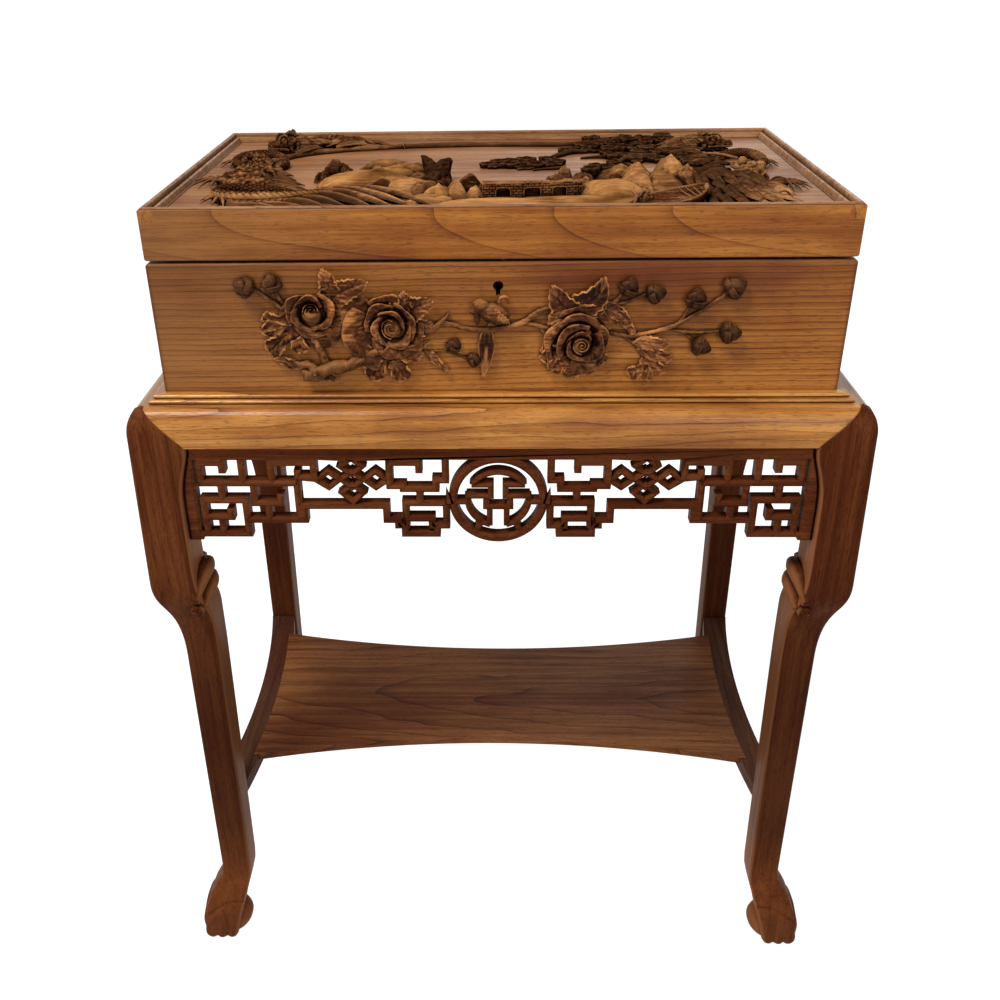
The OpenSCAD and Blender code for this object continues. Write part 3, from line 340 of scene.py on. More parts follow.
# %% Planed wood
def planed_wood(name, dark, middle, light, along="X", heart=(0, 0), tilt=(1, 2), ring=6.5, seed=0.0,
                shine=0.4, figure=0.5, blotch=0.4, gray=0.0, fade=((168, 122, 84), (92, 58, 38)),
                gloss=0.1, upper=0.0, low=0.0, sweep=0, sway=0.03, thin=14.0, inner=0.0, rim=()):
    """Planed and waxed wood. heart is where the trunk's middle lies across the grain, in mm; tilt
    is how far the grain runs out, in degrees; ring is the width of a year's growth, in mm; sway is
    how far the rings wander, in m; thin makes their lines thinner; gray is how far painted shade
    turns the left end to the fade's two colours, which also give faces that look up a painted sheen;
    upper paints the shadow of the lid's overhang on the upper part, and low darkens the lower part;
    inner paints light on faces that look to the middle; sweep and rim are as in the two rules above,
    and rim's lines are painted groove shade."""
    w = Recipe(name)
    grain = w.moved(w.place, turn=ALONG[along])
    rings, curved = year_rings(w, grain, heart, tilt, ring, seed, sway)
    streaks = w.patches(grain, (seed, 3 * seed, seed), (3, 130, 130), 4.0, 0.65)
    fibres = w.patches(grain, (2 * seed, 0, seed), (14, 700, 700), 2.0)
    clouds = w.patches(grain, (seed, 0, 2 * seed), (3.5, 9, 9), 4.0, 0.6)
    pores = w.ranged(w.patches(grain, (0, seed, 0), (110, 1100, 1100), 1.0), 0.58, 0.68)
    place, faces = w.axes(w.place), w.axes(w.facing)
    if sweep:
        rings = swept_lines(w, curved, sweep)

    late = w.times(w.math("POWER", rings, thin), w.ranged(clouds, 0.35, 0.6, 0.45, 1.25))
    early = w.times(w.math("POWER", rings, 1.6), 0.2 * figure)
    shade = w.plus(w.plus(w.times(late, figure), early), w.times(w.ranged(streaks, 0.3, 0.7), 0.5))
    for value, share in ((clouds, 0.5), (fibres, 0.22)):
        shade = w.plus(shade, w.times(w.ranged(value, 0.3, 0.7, -0.5, 0.5), share))
    colour = w.ramp(shade, (0.0, light), (0.42, middle), (1.0, dark))
    colour = w.tinge(colour, clouds, 0.5, 0.68, blotch, w.mix(0.6, dark, RED_STAIN))
    colour = w.mix(w.times(pores, 0.5), colour, dark)

    # painted shade on the left end, and painted sheen on faces that look up: both turn towards the
    # fade's colours, and faces that look up also get a pale tinge
    if gray:
        shade_and_sheen = w.math("MAXIMUM", w.ranged(place["X"], *LEFT_END, 0, gray),
                       w.ranged(faces["Z"], *UP, 0, 0.75))
        colour = w.mix(shade_and_sheen, colour, w.ramp(shade, (0.1, tone(*fade[0])), (0.9, tone(*fade[1]))))
        colour = w.tinge(colour, faces["Z"], *UP, 0.35, TOP_SHEEN)
    # painted shadow of the lid's overhang: the chest's upper part is darker; then the board's very ends
    # are darkened
    if upper:
        height = w.plus(place["Z"], w.times(clouds, 0.05))
        colour = w.tinge(colour, height, *CHEST_TOP, upper, w.mix(0.42, colour, SHADED))
        colour = w.tinge(colour, w.math("ABSOLUTE", place["X"]), *CHEST_ENDS, 0.7, dark)
    # painted light: faces of the legs that look to the middle are made paler
    if inner:
        inward = w.times(place["X"], faces["X"])
        colour = w.tinge(colour, inward, *INWARD, inner, INNER_PAINTED_LIGHT)
    if low:
        shin = w.times(w.ranged(place["Z"], *SHIN, 0, low), w.ranged(place["Z"], *ANKLE, -0.3, 1))
        colour = w.mix(w.math("MAXIMUM", shin, 0.0), colour, dark)
        colour = w.tinge(colour, place["Z"], *PAW, 0.3, light)
    # painted shade of the grooves round the lid's rim
    colour = painted_groove_lines(w, colour, place, faces, rim)
    # painted shade in corners, in grooves and where boards meet
    colour = w.painted_hollow_shade(colour, 0.005, 6, 0.2, 0.8, 0.85, deeper(dark, 0.15))
    return w.finish(colour, w.ranged(streaks, 0.3, 0.7, shine - 0.06, shine + 0.1), gloss,
                    w.plus(w.times(late, 0.4), w.times(pores, -0.8)), 0.25, 0.0003)

# %% [markdown]
# The lid and the chest are of one honey-coloured wood, the rails are more golden, and the legs and
# the fretwork were stained dark and red. Each group shares its colours, and each kind of board
# gets its own heart, ring width and seed.

# %% The woods
# painted groove shade on the lid's boards: depth in from the edge and half width, in mm
PAINTED_GROOVES = ((3.3, 0.6), (13.2, 1.1))
# colours of the painted shade on the left end and of the painted sheen on top faces
RIM_SHADE_AND_SHEEN = ((136, 92, 58), (72, 43, 25))
HONEY = dict(dark=tone(80, 40, 18), middle=tone(144, 84, 32), light=tone(178, 116, 52), gloss=0.14)
GOLD = dict(dark=tone(86, 44, 16), middle=tone(162, 102, 42), light=tone(200, 140, 70),
            shine=0.28, gloss=0.22)
RED = dict(dark=tone(34, 15, 8), middle=tone(78, 37, 18), light=tone(106, 58, 30), blotch=0.2,
           gloss=0.015)
PANEL = dict(dark=tone(88, 52, 30), middle=tone(132, 86, 50), light=tone(162, 114, 72), gloss=0.03)

wood = {
    "lid_long": planed_wood(
        "lid_board_long", **HONEY, sweep=128, thin=26, seed=3.1, gray=0.8, figure=0.45,
        fade=((124, 82, 50), (66, 38, 22)), rim=PAINTED_GROOVES),
    "lid_short": planed_wood(
        "lid_board_short", **HONEY, along="Y", heart=(40, 790), tilt=(4, 2), ring=16, seed=5.3,
        gray=0.6, fade=RIM_SHADE_AND_SHEEN, rim=PAINTED_GROOVES),
    "chest_long": planed_wood(
        "chest_board_long", **HONEY, heart=(-150, 300), tilt=(0.5, 1), ring=5.4, seed=7.7,
        figure=0.75, thin=9, blotch=0.75, gray=0.85, fade=((134, 88, 50), (64, 38, 22)), upper=1.0,
        sway=0.017),
    "chest_short": planed_wood("chest_board_short", **HONEY, along="Y", heart=(100, 700), seed=2.9),
    "rail_long": planed_wood(
        "rail_long", **GOLD, heart=(-150, 560), tilt=(1, 1.5), ring=8, seed=9.2),
    "rail_short": planed_wood(
        "rail_short", **GOLD, along="Y", heart=(-240, 560), seed=4.4, gray=0.9,
        fade=((112, 82, 58), (58, 40, 28))),
    "panel": planed_wood(
        "lid_panel", **PANEL, heart=(20, 760), tilt=(1.5, 0.6), ring=11, seed=1.3, figure=0.3,
        blotch=0.5, rim=((26.4, 1.0),)),
    "rim": planed_wood(
        "lid_rim", tone(64, 36, 20), tone(134, 90, 56), tone(172, 126, 86), gloss=0.08,
        heart=(30, 700), ring=6, seed=6.6, figure=0.3, blotch=0.2, rim=((19.6, 0.7), (24.6, 0.8))),
    "leg": planed_wood(
        "leg_wood", **RED, along="Z", heart=(30, 160), tilt=(1, 1), ring=9, seed=6.1, figure=0.22,
        low=0.5, inner=0.55),
    "fret": planed_wood("fret_wood", **RED, heart=(-150, 500), seed=8.8, figure=0.2),
    "shelf": planed_wood(
        "shelf_wood", tone(44, 22, 12), tone(98, 56, 30), tone(132, 84, 48), heart=(-8, 137),
        tilt=(5, 2), ring=14, seed=2.2, figure=0.5, blotch=0.5, gloss=0.05, sway=0.05),
    "stretcher": planed_wood(
        "stretcher_wood", tone(30, 17, 12), tone(66, 40, 29), tone(90, 58, 42), gloss=0.015,
        along="Y", heart=(-200, 100), seed=3.9, figure=0.25),
}
print(len(wood), "woods")

# %% [markdown]
# ## Brass
# Hinges, screws and lock are brass that has gone dull. Old brass is hazy in patches that are darker
# and rougher, so one Noise texture drives the colour, the roughness and a very low bump.


# %% Dull brass
def dull_brass(name, stained, clean):
    b = Recipe(name)
    haze = b.noise(b.place, 220.0, 5.0)["Fac"]
    b.feed(b.ramp(haze, (0.3, stained), (0.7, clean)), b.shader.inputs["Base Color"])
    b.shader.inputs["Metallic"].default_value = 1.0
    b.feed(b.ranged(haze, 0.3, 0.7, 0.28, 0.5), b.shader.inputs["Roughness"])
    b.bump(haze, 0.1, 0.0002)
    return b.mat


brass = dull_brass("dull_brass", tone(122, 92, 44), tone(196, 160, 92))
black_brass = dull_brass("black_brass", tone(16, 12, 8), tone(34, 26, 16))

# %% [markdown]
# Boards that keep their shape from CAD only need their wood. A table names the boards, and rules on
# how a name begins cover the rails, legs, fretwork and metal, so that no piece is left out.


# %% Dress the CAD pieces
def dress(node, material):
    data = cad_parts[node].data
    data.materials.clear()
    data.materials.append(material)


FINISH = {"lid_front": "lid_long", "lid_back": "lid_long", "lid_left": "lid_short",
          "lid_right": "lid_short", "lid_panel": "panel", "chest_front": "chest_long",
          "chest_back": "chest_long", "chest_bottom": "chest_long", "chest_left": "chest_short",
          "chest_right": "chest_short", "shelf": "shelf", "stretcher_left": "stretcher",
          "stretcher_right": "stretcher"}
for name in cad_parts:
    short = name.endswith(("_left", "_right"))
    if name in FINISH:
        dress(name, wood[FINISH[name]])
    elif name.startswith("lid_moulding"):
        dress(name, wood["rim"])
    elif name.startswith(("rail", "seat_moulding")):
        dress(name, wood["rail_short" if short else "rail_long"])
    elif name.startswith("leg"):
        dress(name, wood["leg"])
    elif name.startswith("fret"):
        dress(name, wood["fret"])
    elif name.startswith(("hinge", "lock")) or name.endswith("screws"):
        dress(name, black_brass if name == "lock_case" else brass)
    else:
        dress(name, wood["panel"])
print(len(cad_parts), "pieces dressed")

# %% [markdown]
# ## Shaping by place
# Carved forms are skins: a leaf, a petal, a leg or a coil of a dragon is a grid that was bent. So
# one helper adds a grid, moves each of its points to the place that a rule gives, and closes it,
# either by rolling it into a tube or by giving the sheet a thickness. Places are in millimetres.


# %% Editing helpers
def pick_only(piece):
    bpy.ops.object.select_all(action="DESELECT")
    piece.select_set(True)
    bpy.context.view_layer.objects.active = piece


def in_edit(piece, *steps):
    """Opens the piece for editing with all of it selected, runs the steps, and closes it."""
    pick_only(piece)
    bpy.ops.object.mode_set(mode="EDIT")
    bpy.ops.mesh.select_all(action="SELECT")
    for step in steps:
        step()
    bpy.ops.object.mode_set(mode="OBJECT")


def close_tube():
    bpy.ops.mesh.remove_doubles(threshold=1e-6)
    bpy.ops.mesh.select_non_manifold()
    bpy.ops.mesh.edge_face_add()
    bpy.ops.mesh.select_all(action="SELECT")
    bpy.ops.mesh.normals_make_consistent(inside=False)


# %% Bent grids and sheets
def bent_grid(name, across, along, place):
    piece = added(bpy.ops.mesh.primitive_grid_add, x_subdivisions=across, y_subdivisions=along, size=1)
    piece.name = piece.data.name = name
    for point in piece.data.vertices:
        point.co = place(round(point.co.x + 0.5, 5), round(point.co.y + 0.5, 5)) * MM
    return piece


def apply_all(piece):
    pick_only(piece)
    for modifier in list(piece.modifiers):
        bpy.ops.object.modifier_apply(modifier=modifier.name)


def sheet(name, across, along, place, thick=1.8, smooth=1):
    """A bent sheet of wood, with its thickness behind the places given."""
    piece = bent_grid(name, across, along, place)
    skin = piece.modifiers.new("thickness", "SOLIDIFY")
    skin.thickness, skin.offset = thick * MM, -1
    if smooth:
        piece.modifiers.new("soft", "SUBSURF").levels = smooth
    apply_all(piece)
    return piece


# %% Places and curves
def lerp(a, b, t):
    return a + (b - a) * t


def turned(x, y, angle):
    return x * cos(angle) - y * sin(angle), x * sin(angle) + y * cos(angle)


def by_heart(world, heart, lean, x, y, height, lowest=0.0):
    """A place of a flower that leans, given by its distances from the heart and its height."""
    return world(heart[0] + x + lean[0] * height, heart[1] + y + lean[1] * height,
                 max(lowest, height))


def along_curve(points, count):
    """count + 1 places on a smooth curve through the points, whatever each point holds."""
    rows = [points[0]] + list(points) + [points[-1]]
    out = []
    for i in range(count + 1):
        t = i / count * (len(points) - 1)
        k = min(int(t), len(points) - 2)
        t -= k
        out.append([0.5 * (2 * b + (c - a) * t + (2 * a - 5 * b + 4 * c - d) * t * t
                           + (3 * b - a - 3 * c + d) * t ** 3)
                    for a, b, c, d in zip(*rows[k:k + 4])])
    return out

# %% [markdown]
# Stems, coils, locks and cords are rods: a smooth curve through a few points, with a radius at each.
# A Curve object could do this too, but a rolled grid also takes scales, bark or folds.


# %% Rods
def rod(name, world, points, sides=10, step=2.0, skin=None, flat=1.0):
    """A tube through points (across, up, out, radius) of a face. skin says how far the surface
    stands out there, as a share of the radius; flat squeezes it towards the face."""
    length = sum(hypot(b[0] - a[0], b[1] - a[1], b[2] - a[2]) for a, b in zip(points, points[1:]))
    count = max(4, int(length / step))
    spots = along_curve(points, count)
    frames = []
    for i in range(count + 1):
        ahead = Vector(spots[min(i + 1, count)][:3]) - Vector(spots[max(i - 1, 0)][:3])
        side = ahead.cross(Vector((0, 0, 1)))
        if side.length < 1e-6:
            side = Vector((1, 0, 0))
        side.normalize()
        frames.append((side, side.cross(ahead).normalized()))

    def place(s, t):
        i = round(t * count)
        side, over = frames[i]
        angle = 2 * pi * (s % 1)
        radius = spots[i][3] * (1 + (skin(s % 1, t) if skin else 0))
        middle = Vector(spots[i][:3])
        return world(*(middle + (side * cos(angle) + over * sin(angle) * flat) * radius))

    piece = bent_grid(name, sides, count, place)
    in_edit(piece, close_tube)
    return piece


# %% Joining and finishing
def joined(name, pieces, smooth_angle=50):
    """One object from many, with soft shading where the surface turns gently."""
    bpy.ops.object.select_all(action="DESELECT")
    for piece in pieces:
        piece.select_set(True)
    bpy.context.view_layer.objects.active = pieces[0]
    if len(pieces) > 1:
        bpy.ops.object.join()
    whole = bpy.context.object
    whole.name = whole.data.name = name
    bpy.ops.object.shade_smooth_by_angle(angle=radians(smooth_angle))
    return whole


def finish_piece(piece, material, slot, body, *nodes):
    """Gives a piece its wood, and says what it rides on and which nodes it replaces. slot is not used.
    """
    piece.data.materials.clear()
    piece.data.materials.append(material)
    for face in piece.data.polygons:
        face.material_index = 0
    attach(piece, body)
    if nodes:
        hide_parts(*nodes)
    print(piece.name, len(piece.data.polygons), "faces")


def soft_step(low, high, value):
    t = min(1, max(0, (value - low) / (high - low)))
    return t * t * (3 - 2 * t)


# %% [markdown]
# ## Carved wood
# On a carving, hands have polished what stands proud, and the hollows lie in shade. Ambient
# Occlusion tells how deep a point lies between its neighbours, so it paints that shade into the
# colour, and the surface's own pointedness brings out paler edges: wear, with a painted highlight.


# %% Carved wood
HONEY_DARK, HONEY_PALE, WAX_AND_PAINTED_SHADE = tone(116, 72, 34), tone(208, 148, 88), tone(30, 13, 7)


def carved_wood(name, deep, middle, worn, seed, gloss, lit=0.0):
    """A piece may carry a tone on its points: above 0 turns it to honey wood, below 0 darkens it.
    lit paints light on faces that look up, and paints shade on faces that look down."""
    w = Recipe(name)
    clouds = w.patches(w.place, (seed, seed, seed), (18, 18, 18), 4.0)
    streaks = w.patches(w.place, (seed, 0, 0), (35, 420, 420), 3.0)
    shade = w.plus(w.times(clouds, 0.65), w.times(streaks, 0.35))
    colour = w.ramp(shade, (0.39, deep), (0.52, middle), (0.68, worn))
    # painted light on faces that look up, and painted shade on faces that look down
    if lit:
        upward = w.axes(w.facing)["Z"]
        colour = w.tinge(colour, upward, 0.2, 0.85, lit, worn)
        colour = w.tinge(colour, upward, -0.05, -0.7, lit, deep)
    mark = w.add("Attribute", attribute_name="tone").outputs["Fac"]
    bright = w.ramp(shade, (0.38, HONEY_DARK), (0.64, HONEY_PALE))
    # the tone: honey wood above 0 and dark wood below; where a tone follows the way a face points or
    # lies in a hollow, it is painted light and shade
    colour = w.tinge(colour, mark, 0.0, 1.0, 0.92, bright)
    colour = w.tinge(colour, mark, 0.0, -1.0, 0.9, WAX_AND_PAINTED_SHADE)
    edge = w.add("NewGeometry").outputs["Pointiness"]
    # paler convex edges: wear, with a painted highlight
    wear_and_painted_highlight = w.times(w.ranged(edge, 0.51, 0.6, 0, 0.6), w.ranged(mark, -0.6, 0.0, 0.3, 1.0))
    colour = w.mix(wear_and_painted_highlight, colour, worn)
    # painted shade in creases, where the surface turns inward
    colour = w.tinge(colour, edge, 0.495, 0.44, 0.75, deeper(deep, 0.3))
    # painted shade in every hollow
    colour = w.painted_hollow_shade(colour, 0.012, 8, 0.32, 0.97, 0.95, deeper(deep, 0.16))
    return w.finish(colour, w.ranged(streaks, 0.3, 0.7, 0.28, 0.42), gloss,
                    w.plus(clouds, w.times(streaks, 0.5)), 0.3, 0.0006)


wood["flowers"] = carved_wood("carved_flowers", tone(36, 15, 8), tone(84, 42, 21),
                              tone(216, 144, 84), 2.0, gloss=0.05, lit=0.32)
wood["relief"] = carved_wood("carved_relief", tone(30, 13, 7), tone(84, 46, 24),
                             tone(190, 134, 86), 5.0, gloss=0.0)


def carved(name, pieces, smooth_angle, kind, body, node):
    """Joins the pieces of one carving, and lets it stand in for the plain piece from CAD."""
    finish_piece(joined(name, pieces, smooth_angle), wood[kind], "carved_wood", body, node)


# %% [markdown]
# ## The fretwork
# The bars of the fretwork are not flat: each face rises to a ridge, like a roof, and where bars
# meet the ridges mitre into each other. Insetting the whole front face at once, and lifting it,
# gives just that, with every corner mitred. It is done on a copy, whose doubles are merged first.

# %% Fretwork
BAR_SLOPE, BAR_RISE = 2.75, 2.5


def ridged_fret(node, out):
    """A copy of a plain apron whose bars rise to ridges on the face that looks out."""
    low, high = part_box(node)
    piece = bpy.data.objects.new("ridged_" + node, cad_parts[node].data.copy())
    bpy.context.scene.collection.objects.link(piece)
    in_edit(piece, lambda: bpy.ops.mesh.remove_doubles(threshold=1e-5),
            lambda: bpy.ops.mesh.select_all(action="DESELECT"))
    face_at = max(out.dot(low), out.dot(high))
    for face in piece.data.polygons:
        face.select = face.normal.dot(out) > 0.99 and abs(face.center.dot(out) - face_at) < 1e-4
    chosen = sum(face.select for face in piece.data.polygons)
    bpy.ops.object.mode_set(mode="EDIT")
    bpy.ops.mesh.inset(thickness=BAR_SLOPE * MM, depth=BAR_RISE * MM, use_even_offset=True)
    bpy.ops.object.mode_set(mode="OBJECT")
    print(node, chosen, "front faces raised")
    finish_piece(joined(piece.name, [piece], 25), wood["fret"], "dark_wood", "stand", node)


for node, out in (("fret_front", (0, -1, 0)), ("fret_back_side", (0, 1, 0)),
                  ("fret_left", (-1, 0, 0)), ("fret_right", (1, 0, 0))):
    ridged_fret(node, Vector(out))

# %% [markdown]
# ## The moulding inside the lid's rim
# A bead with a groove on each side runs round the field. Its profile is a list of places, each a
# distance in from the lid's edge and a height, and the profile is carried round the four sides.
# All sides share the corner places, so the corners mitre by themselves.

# %% Lid moulding
SIDE_PARTS = 6
ROUND = [(16.5 - 2 * cos(radians(w)), 844.6 + 2 * sin(radians(w))) for w in range(0, 181, 20)]
BEAD = [(14.4, 844.2)] + ROUND + [(18.7, 840.5), (20.4, 840.5), (20.9, 842.6), (22.4, 843.2),
                                  (23.8, 842.2), (25, 838.1), (16.2, 837.7), (16.2, 844.2)]


def mitred(name, profile):
    """A profile carried round the lid's four sides."""
    def place(s, t):
        depth, high = profile[round(t * len(profile)) % len(profile)]
        x, y = LID_HALF[0] - depth, LID_HALF[1] - depth
        corners = ((-x, -y), (x, -y), (x, y), (-x, y))
        side, k = int(s * 4 + 1e-4) % 4, (s * 4 + 1e-4) % 1
        k = round(k * SIDE_PARTS) / SIDE_PARTS
        a, b = corners[side], corners[(side + 1) % 4]
        return Vector((lerp(a[0], b[0], k), lerp(a[1], b[1], k), high))

    piece = bent_grid(name, 4 * SIDE_PARTS, len(profile), place)
    in_edit(piece, lambda: bpy.ops.mesh.remove_doubles(threshold=1e-6),
            lambda: bpy.ops.mesh.normals_make_consistent(inside=False))
    return piece


finish_piece(joined("lid_bead", [mitred("bead", BEAD)], 30), wood["rim"], "honey_wood", "lid",
             *[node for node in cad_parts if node.startswith("lid_moulding")])

# %% [markdown]
# ## A leg
# A leg is square in section all the way down, but its outline swings out at the knee, in to the
# shin and out again to a paw. So the leg is one long tube with a square section, whose outside
# and inside edges follow two drawn curves. The knee's cloth-like rolls and the paw's heel are
# added to it, and the toes are pressed in.

# %% The leg's two edges
def bezier(a, b, c, d, count):
    return [tuple(p * (1 - t) ** 3 + 3 * q * t * (1 - t) ** 2 + 3 * r * t * t * (1 - t) + s * t ** 3
                  for p, q, r, s in zip(a, b, c, d)) for t in (i / count for i in range(count + 1))]


OUTER = ([(19 + 12.5 * cos(radians(w)), 649.5 + 24.5 * sin(radians(w))) for w in range(90, -1, -6)]
         + bezier((34.3, 493), (34.3, 460.45), (17.1, 460.45), (16.5, 400), 20)
         + [(18, 92), (19.5, 79), (25.5, 70), (33, 58), (38, 44), (40.4, 30), (41.8, 20), (43, 8),
            (41.5, 0)])
INNER = ([(-19, 674)] + bezier((-19, 639), (-19, 620.4), (-9, 611.1), (-9, 577.6), 12)
         + bezier((-9, 515.3), (-9, 474.4), (-17.5, 467), (-17.5, 442.8), 14)
         + [(-17.5, 400), (-13.8, 92), (-13, 79), (-10, 66), (-5.5, 52), (-2, 38), (1.5, 22), (4.5, 8),
            (7, 0)])


def edge_at(edge, z):
    for (u, top), (v, bottom) in zip(edge, edge[1:]):
        if bottom <= z <= top:
            return lerp(v, u, (z - bottom) / (top - bottom) if top > bottom else 0)
    return edge[0][0] if z > edge[0][1] else edge[-1][0]


print("ankle", round(edge_at(OUTER, 79) - edge_at(INNER, 79), 1), "mm thick")

# %% The leg's surface
SIDE_STEPS, LEG_STEPS = 20, 300
LEG_TOP, ANKLE_AT, KNEE_AT = 690, 79, 463
CORNER, CROWN = 2.8, 1.3
TOES = 3


def hump(value):
    """1 at 0, and down to nothing on both sides."""
    return 2.718 ** -(value ** 2)


def paw_relief(share, z):
    """How far the paw's face stands out: toes with grooves between them, and a knuckle crease."""
    fade = soft_step(0, 0.2, share), soft_step(0, 0.2, 1 - share)
    toe = (abs(sin(TOES * pi * share)) ** 0.5 - 1) * fade[0] * fade[1]
    grooves = 5.0 * toe * (1 - soft_step(22, 46, z + 9 * share))
    crease_at = 52 - 19 * share + 8 * sin(pi * share)
    crease = -2.2 * hump((z - crease_at) / 2.0)
    pad = 2.4 * hump((z - crease_at + 8) / 5.5)
    return grooves + crease + pad


def in_corner(u, v, z):
    """A place given by its distances out from the chest's back right corner."""
    return Vector((CHEST_HALF[0] + u, CHEST_HALF[1] + v, z))


def leg_place(s, t):
    """A point of the leg of the back right corner."""
    z = LEG_TOP * (1 - t)
    low, high = edge_at(INNER, z), edge_at(OUTER, z)
    half, middle = (high - low) / 2, (high + low) / 2
    turn = (s % 1) * 4
    side, q = int(turn) % 4, turn % 1
    q = 0.35 * q + 0.65 * (0.5 - 0.5 * cos(pi * q))
    x, y = ((1, 2 * q - 1), (1 - 2 * q, 1), (-1, 1 - 2 * q), (2 * q - 1, -1))[side]
    soft = (CORNER if z > ANKLE_AT else CORNER + 2.5 * soft_step(70, 20, z)) / half
    cx, cy = max(soft - 1, min(1 - soft, x)), max(soft - 1, min(1 - soft, y))
    lean = Vector((x - cx, y - cy))
    lean = lean.normalized() * soft if lean.length > 1e-6 else lean
    u, v = middle + half * (cx + lean.x), middle + half * (cy + lean.y)
    bulge = CROWN * (1 - (2 * q - 1) ** 2) * (1 if side < 2 else 0.2)
    if z < ANKLE_AT and side < 2:
        share = (1 + (y if side == 0 else x)) / 2
        bulge += paw_relief(share, z) - 2.4 * max(0, 1 - z / 7) ** 2
    elif z < ANKLE_AT:
        bulge -= 2.0 * max(0, 1 - z / 9) ** 2
    return in_corner(u + bulge * (1, 0, -1, 0)[side], v + bulge * (0, 1, 0, -1)[side], z)

# %% [markdown]
# At the knee the carver left rolls like folded cloth that end in a small scroll. They are rods laid
# on both inner faces. The leg's head is cut on two slopes, where the rails' ends meet it.


# %% Knee rolls, mitres and the whole leg
def knee_rolls():
    """Two rolls on each inner face of the knee. They run forward and down to a small scroll."""
    pieces = []
    for swap in (False, True):
        world = (lambda a, b, c: in_corner(b, a, c)) if swap else in_corner
        for rows in (((-13, -8, 496, 5.5), (-14, 2, 497, 7.6), (-13, 12, 496, 8.2),
                      (-10, 22, 490, 7.8), (-7.5, 30, 480, 5.6), (-8, 31, 472, 3.6)),
                     ((-14, -8, 481, 5.5), (-16, 2, 481.5, 7.8), (-16, 12, 479.5, 7.8),
                      (-14, 20, 474, 6.8), (-12, 26, 465, 5.4))):
            pieces.append(rod("knee_roll", world, rows, 20, 1.2,
                              lambda s, t: 0.1 * abs(sin(2 * pi * s + 0.6)) ** 3 - 0.05))
        turns = [(5.4 - 4.4 * i / 40, radians(200 - 19 * i)) for i in range(41)]
        path = [(-7 + r * cos(a), 33.4 + 0.05 * r * sin(a), KNEE_AT + r * sin(a), 1.1)
                for r, a in turns]
        pieces.append(rod("scroll", world, path, 6, 0.8))
        boss = [(-7, v, KNEE_AT, r) for v, r in ((10, 6.6), (26, 6.6), (32.6, 6.5), (33.3, 5.6))]
        pieces.append(rod("scroll_boss", world, boss, 28, 1.0))
    return pieces


def cut_mitre(piece, normal):
    """Cuts the leg's head on the slope where a rail's end lies."""
    def cut():
        bpy.ops.mesh.bisect(plane_co=in_corner(-19, -19, 639) * MM, plane_no=normal,
                            clear_outer=True, use_fill=True)
    in_edit(piece, cut)


PAD_HALF = 16.5


def whole_leg():
    leg = bent_grid("leg", SIDE_STEPS * 4, LEG_STEPS, leg_place)
    in_edit(leg, close_tube)
    cut_mitre(leg, (-1, 0, 1))
    cut_mitre(leg, (0, -1, 1))
    pads = []
    for wide, deep in ((22.5, 25), (25, 22.5)):
        pads.append(added(bpy.ops.mesh.primitive_uv_sphere_add, segments=32, ring_count=20, radius=1))
        for point in pads[-1].data.vertices:
            n = point.co.normalized()
            point.co = in_corner(wide - 8.5 + wide * n.x, deep - 8.5 + deep * n.y,
                                 PAD_HALF + PAD_HALF * n.z) * MM
    return joined("carved_leg", [leg] + pads + knee_rolls(), 40)


leg = whole_leg()
print("leg", len(leg.data.polygons), "faces, height", round(leg.dimensions.z, 4))

# %% [markdown]
# The four legs are alike, so one is modelled and the others are mirrored copies. A mirrored mesh
# has its faces inside out, so they are flipped.

# %% Four legs, mirrored from one
for node, sx, sy in (("leg_back_right", 1, 1), ("leg_back_left", -1, 1),
                     ("leg_front_right", 1, -1), ("leg_front_left", -1, -1)):
    copy = bpy.data.objects.new("carved_" + node, leg.data.copy())
    bpy.context.scene.collection.objects.link(copy)
    for point in copy.data.vertices:
        point.co.x, point.co.y = point.co.x * sx, point.co.y * sy
    if sx * sy < 0:
        in_edit(copy, bpy.ops.mesh.flip_normals)
    finish_piece(copy, wood["leg"], "dark_wood", "stand", node)
bpy.data.objects.remove(leg)

# %% [markdown]
# ## Flowers on the front
# The branch on the front was cut from its own piece of wood, so it stands on the board like a
# brooch. A rose is a set of curled walls round a rolled heart: every petal is a sheet that climbs
# from the calyx to a rim that turns outward. A leaf is a sheet with a sunk midrib and a toothed
# edge, and a bud is a tube with overlapping folds.


# %% Places on the front board, cuts and tones
def front(across, up, out):
    return Vector((across, -CHEST_HALF[1] + 0.3 - out, up))


def knifed(pieces, deep=0.7, size=0.16):
    """Uneven cuts, as a knife leaves them: each point moves a little in or out."""
    for piece in pieces:
        points = piece.data.vertices
        moves = [point.normal * (noise.noise(point.co / MM * size)
                                 - abs(noise.noise(point.co / MM * size * 1.9))) for point in points]
        for point, move in zip(points, moves):
            point.co += move * deep * MM
    return pieces


def tinted(pieces, value):
    """Notes a tone on each point: 1 for worn honey wood, and -1 for wood dark with wax and age.
    value is a number, or a rule that reads the way the surface faces and so paints light and shade."""
    for piece in pieces:
        layer = piece.data.attributes.get("tone") or piece.data.attributes.new("tone", "FLOAT", "POINT")
        for point, cell in zip(piece.data.vertices, layer.data):
            cell.value = value(point.normal) if callable(value) else value
    return pieces


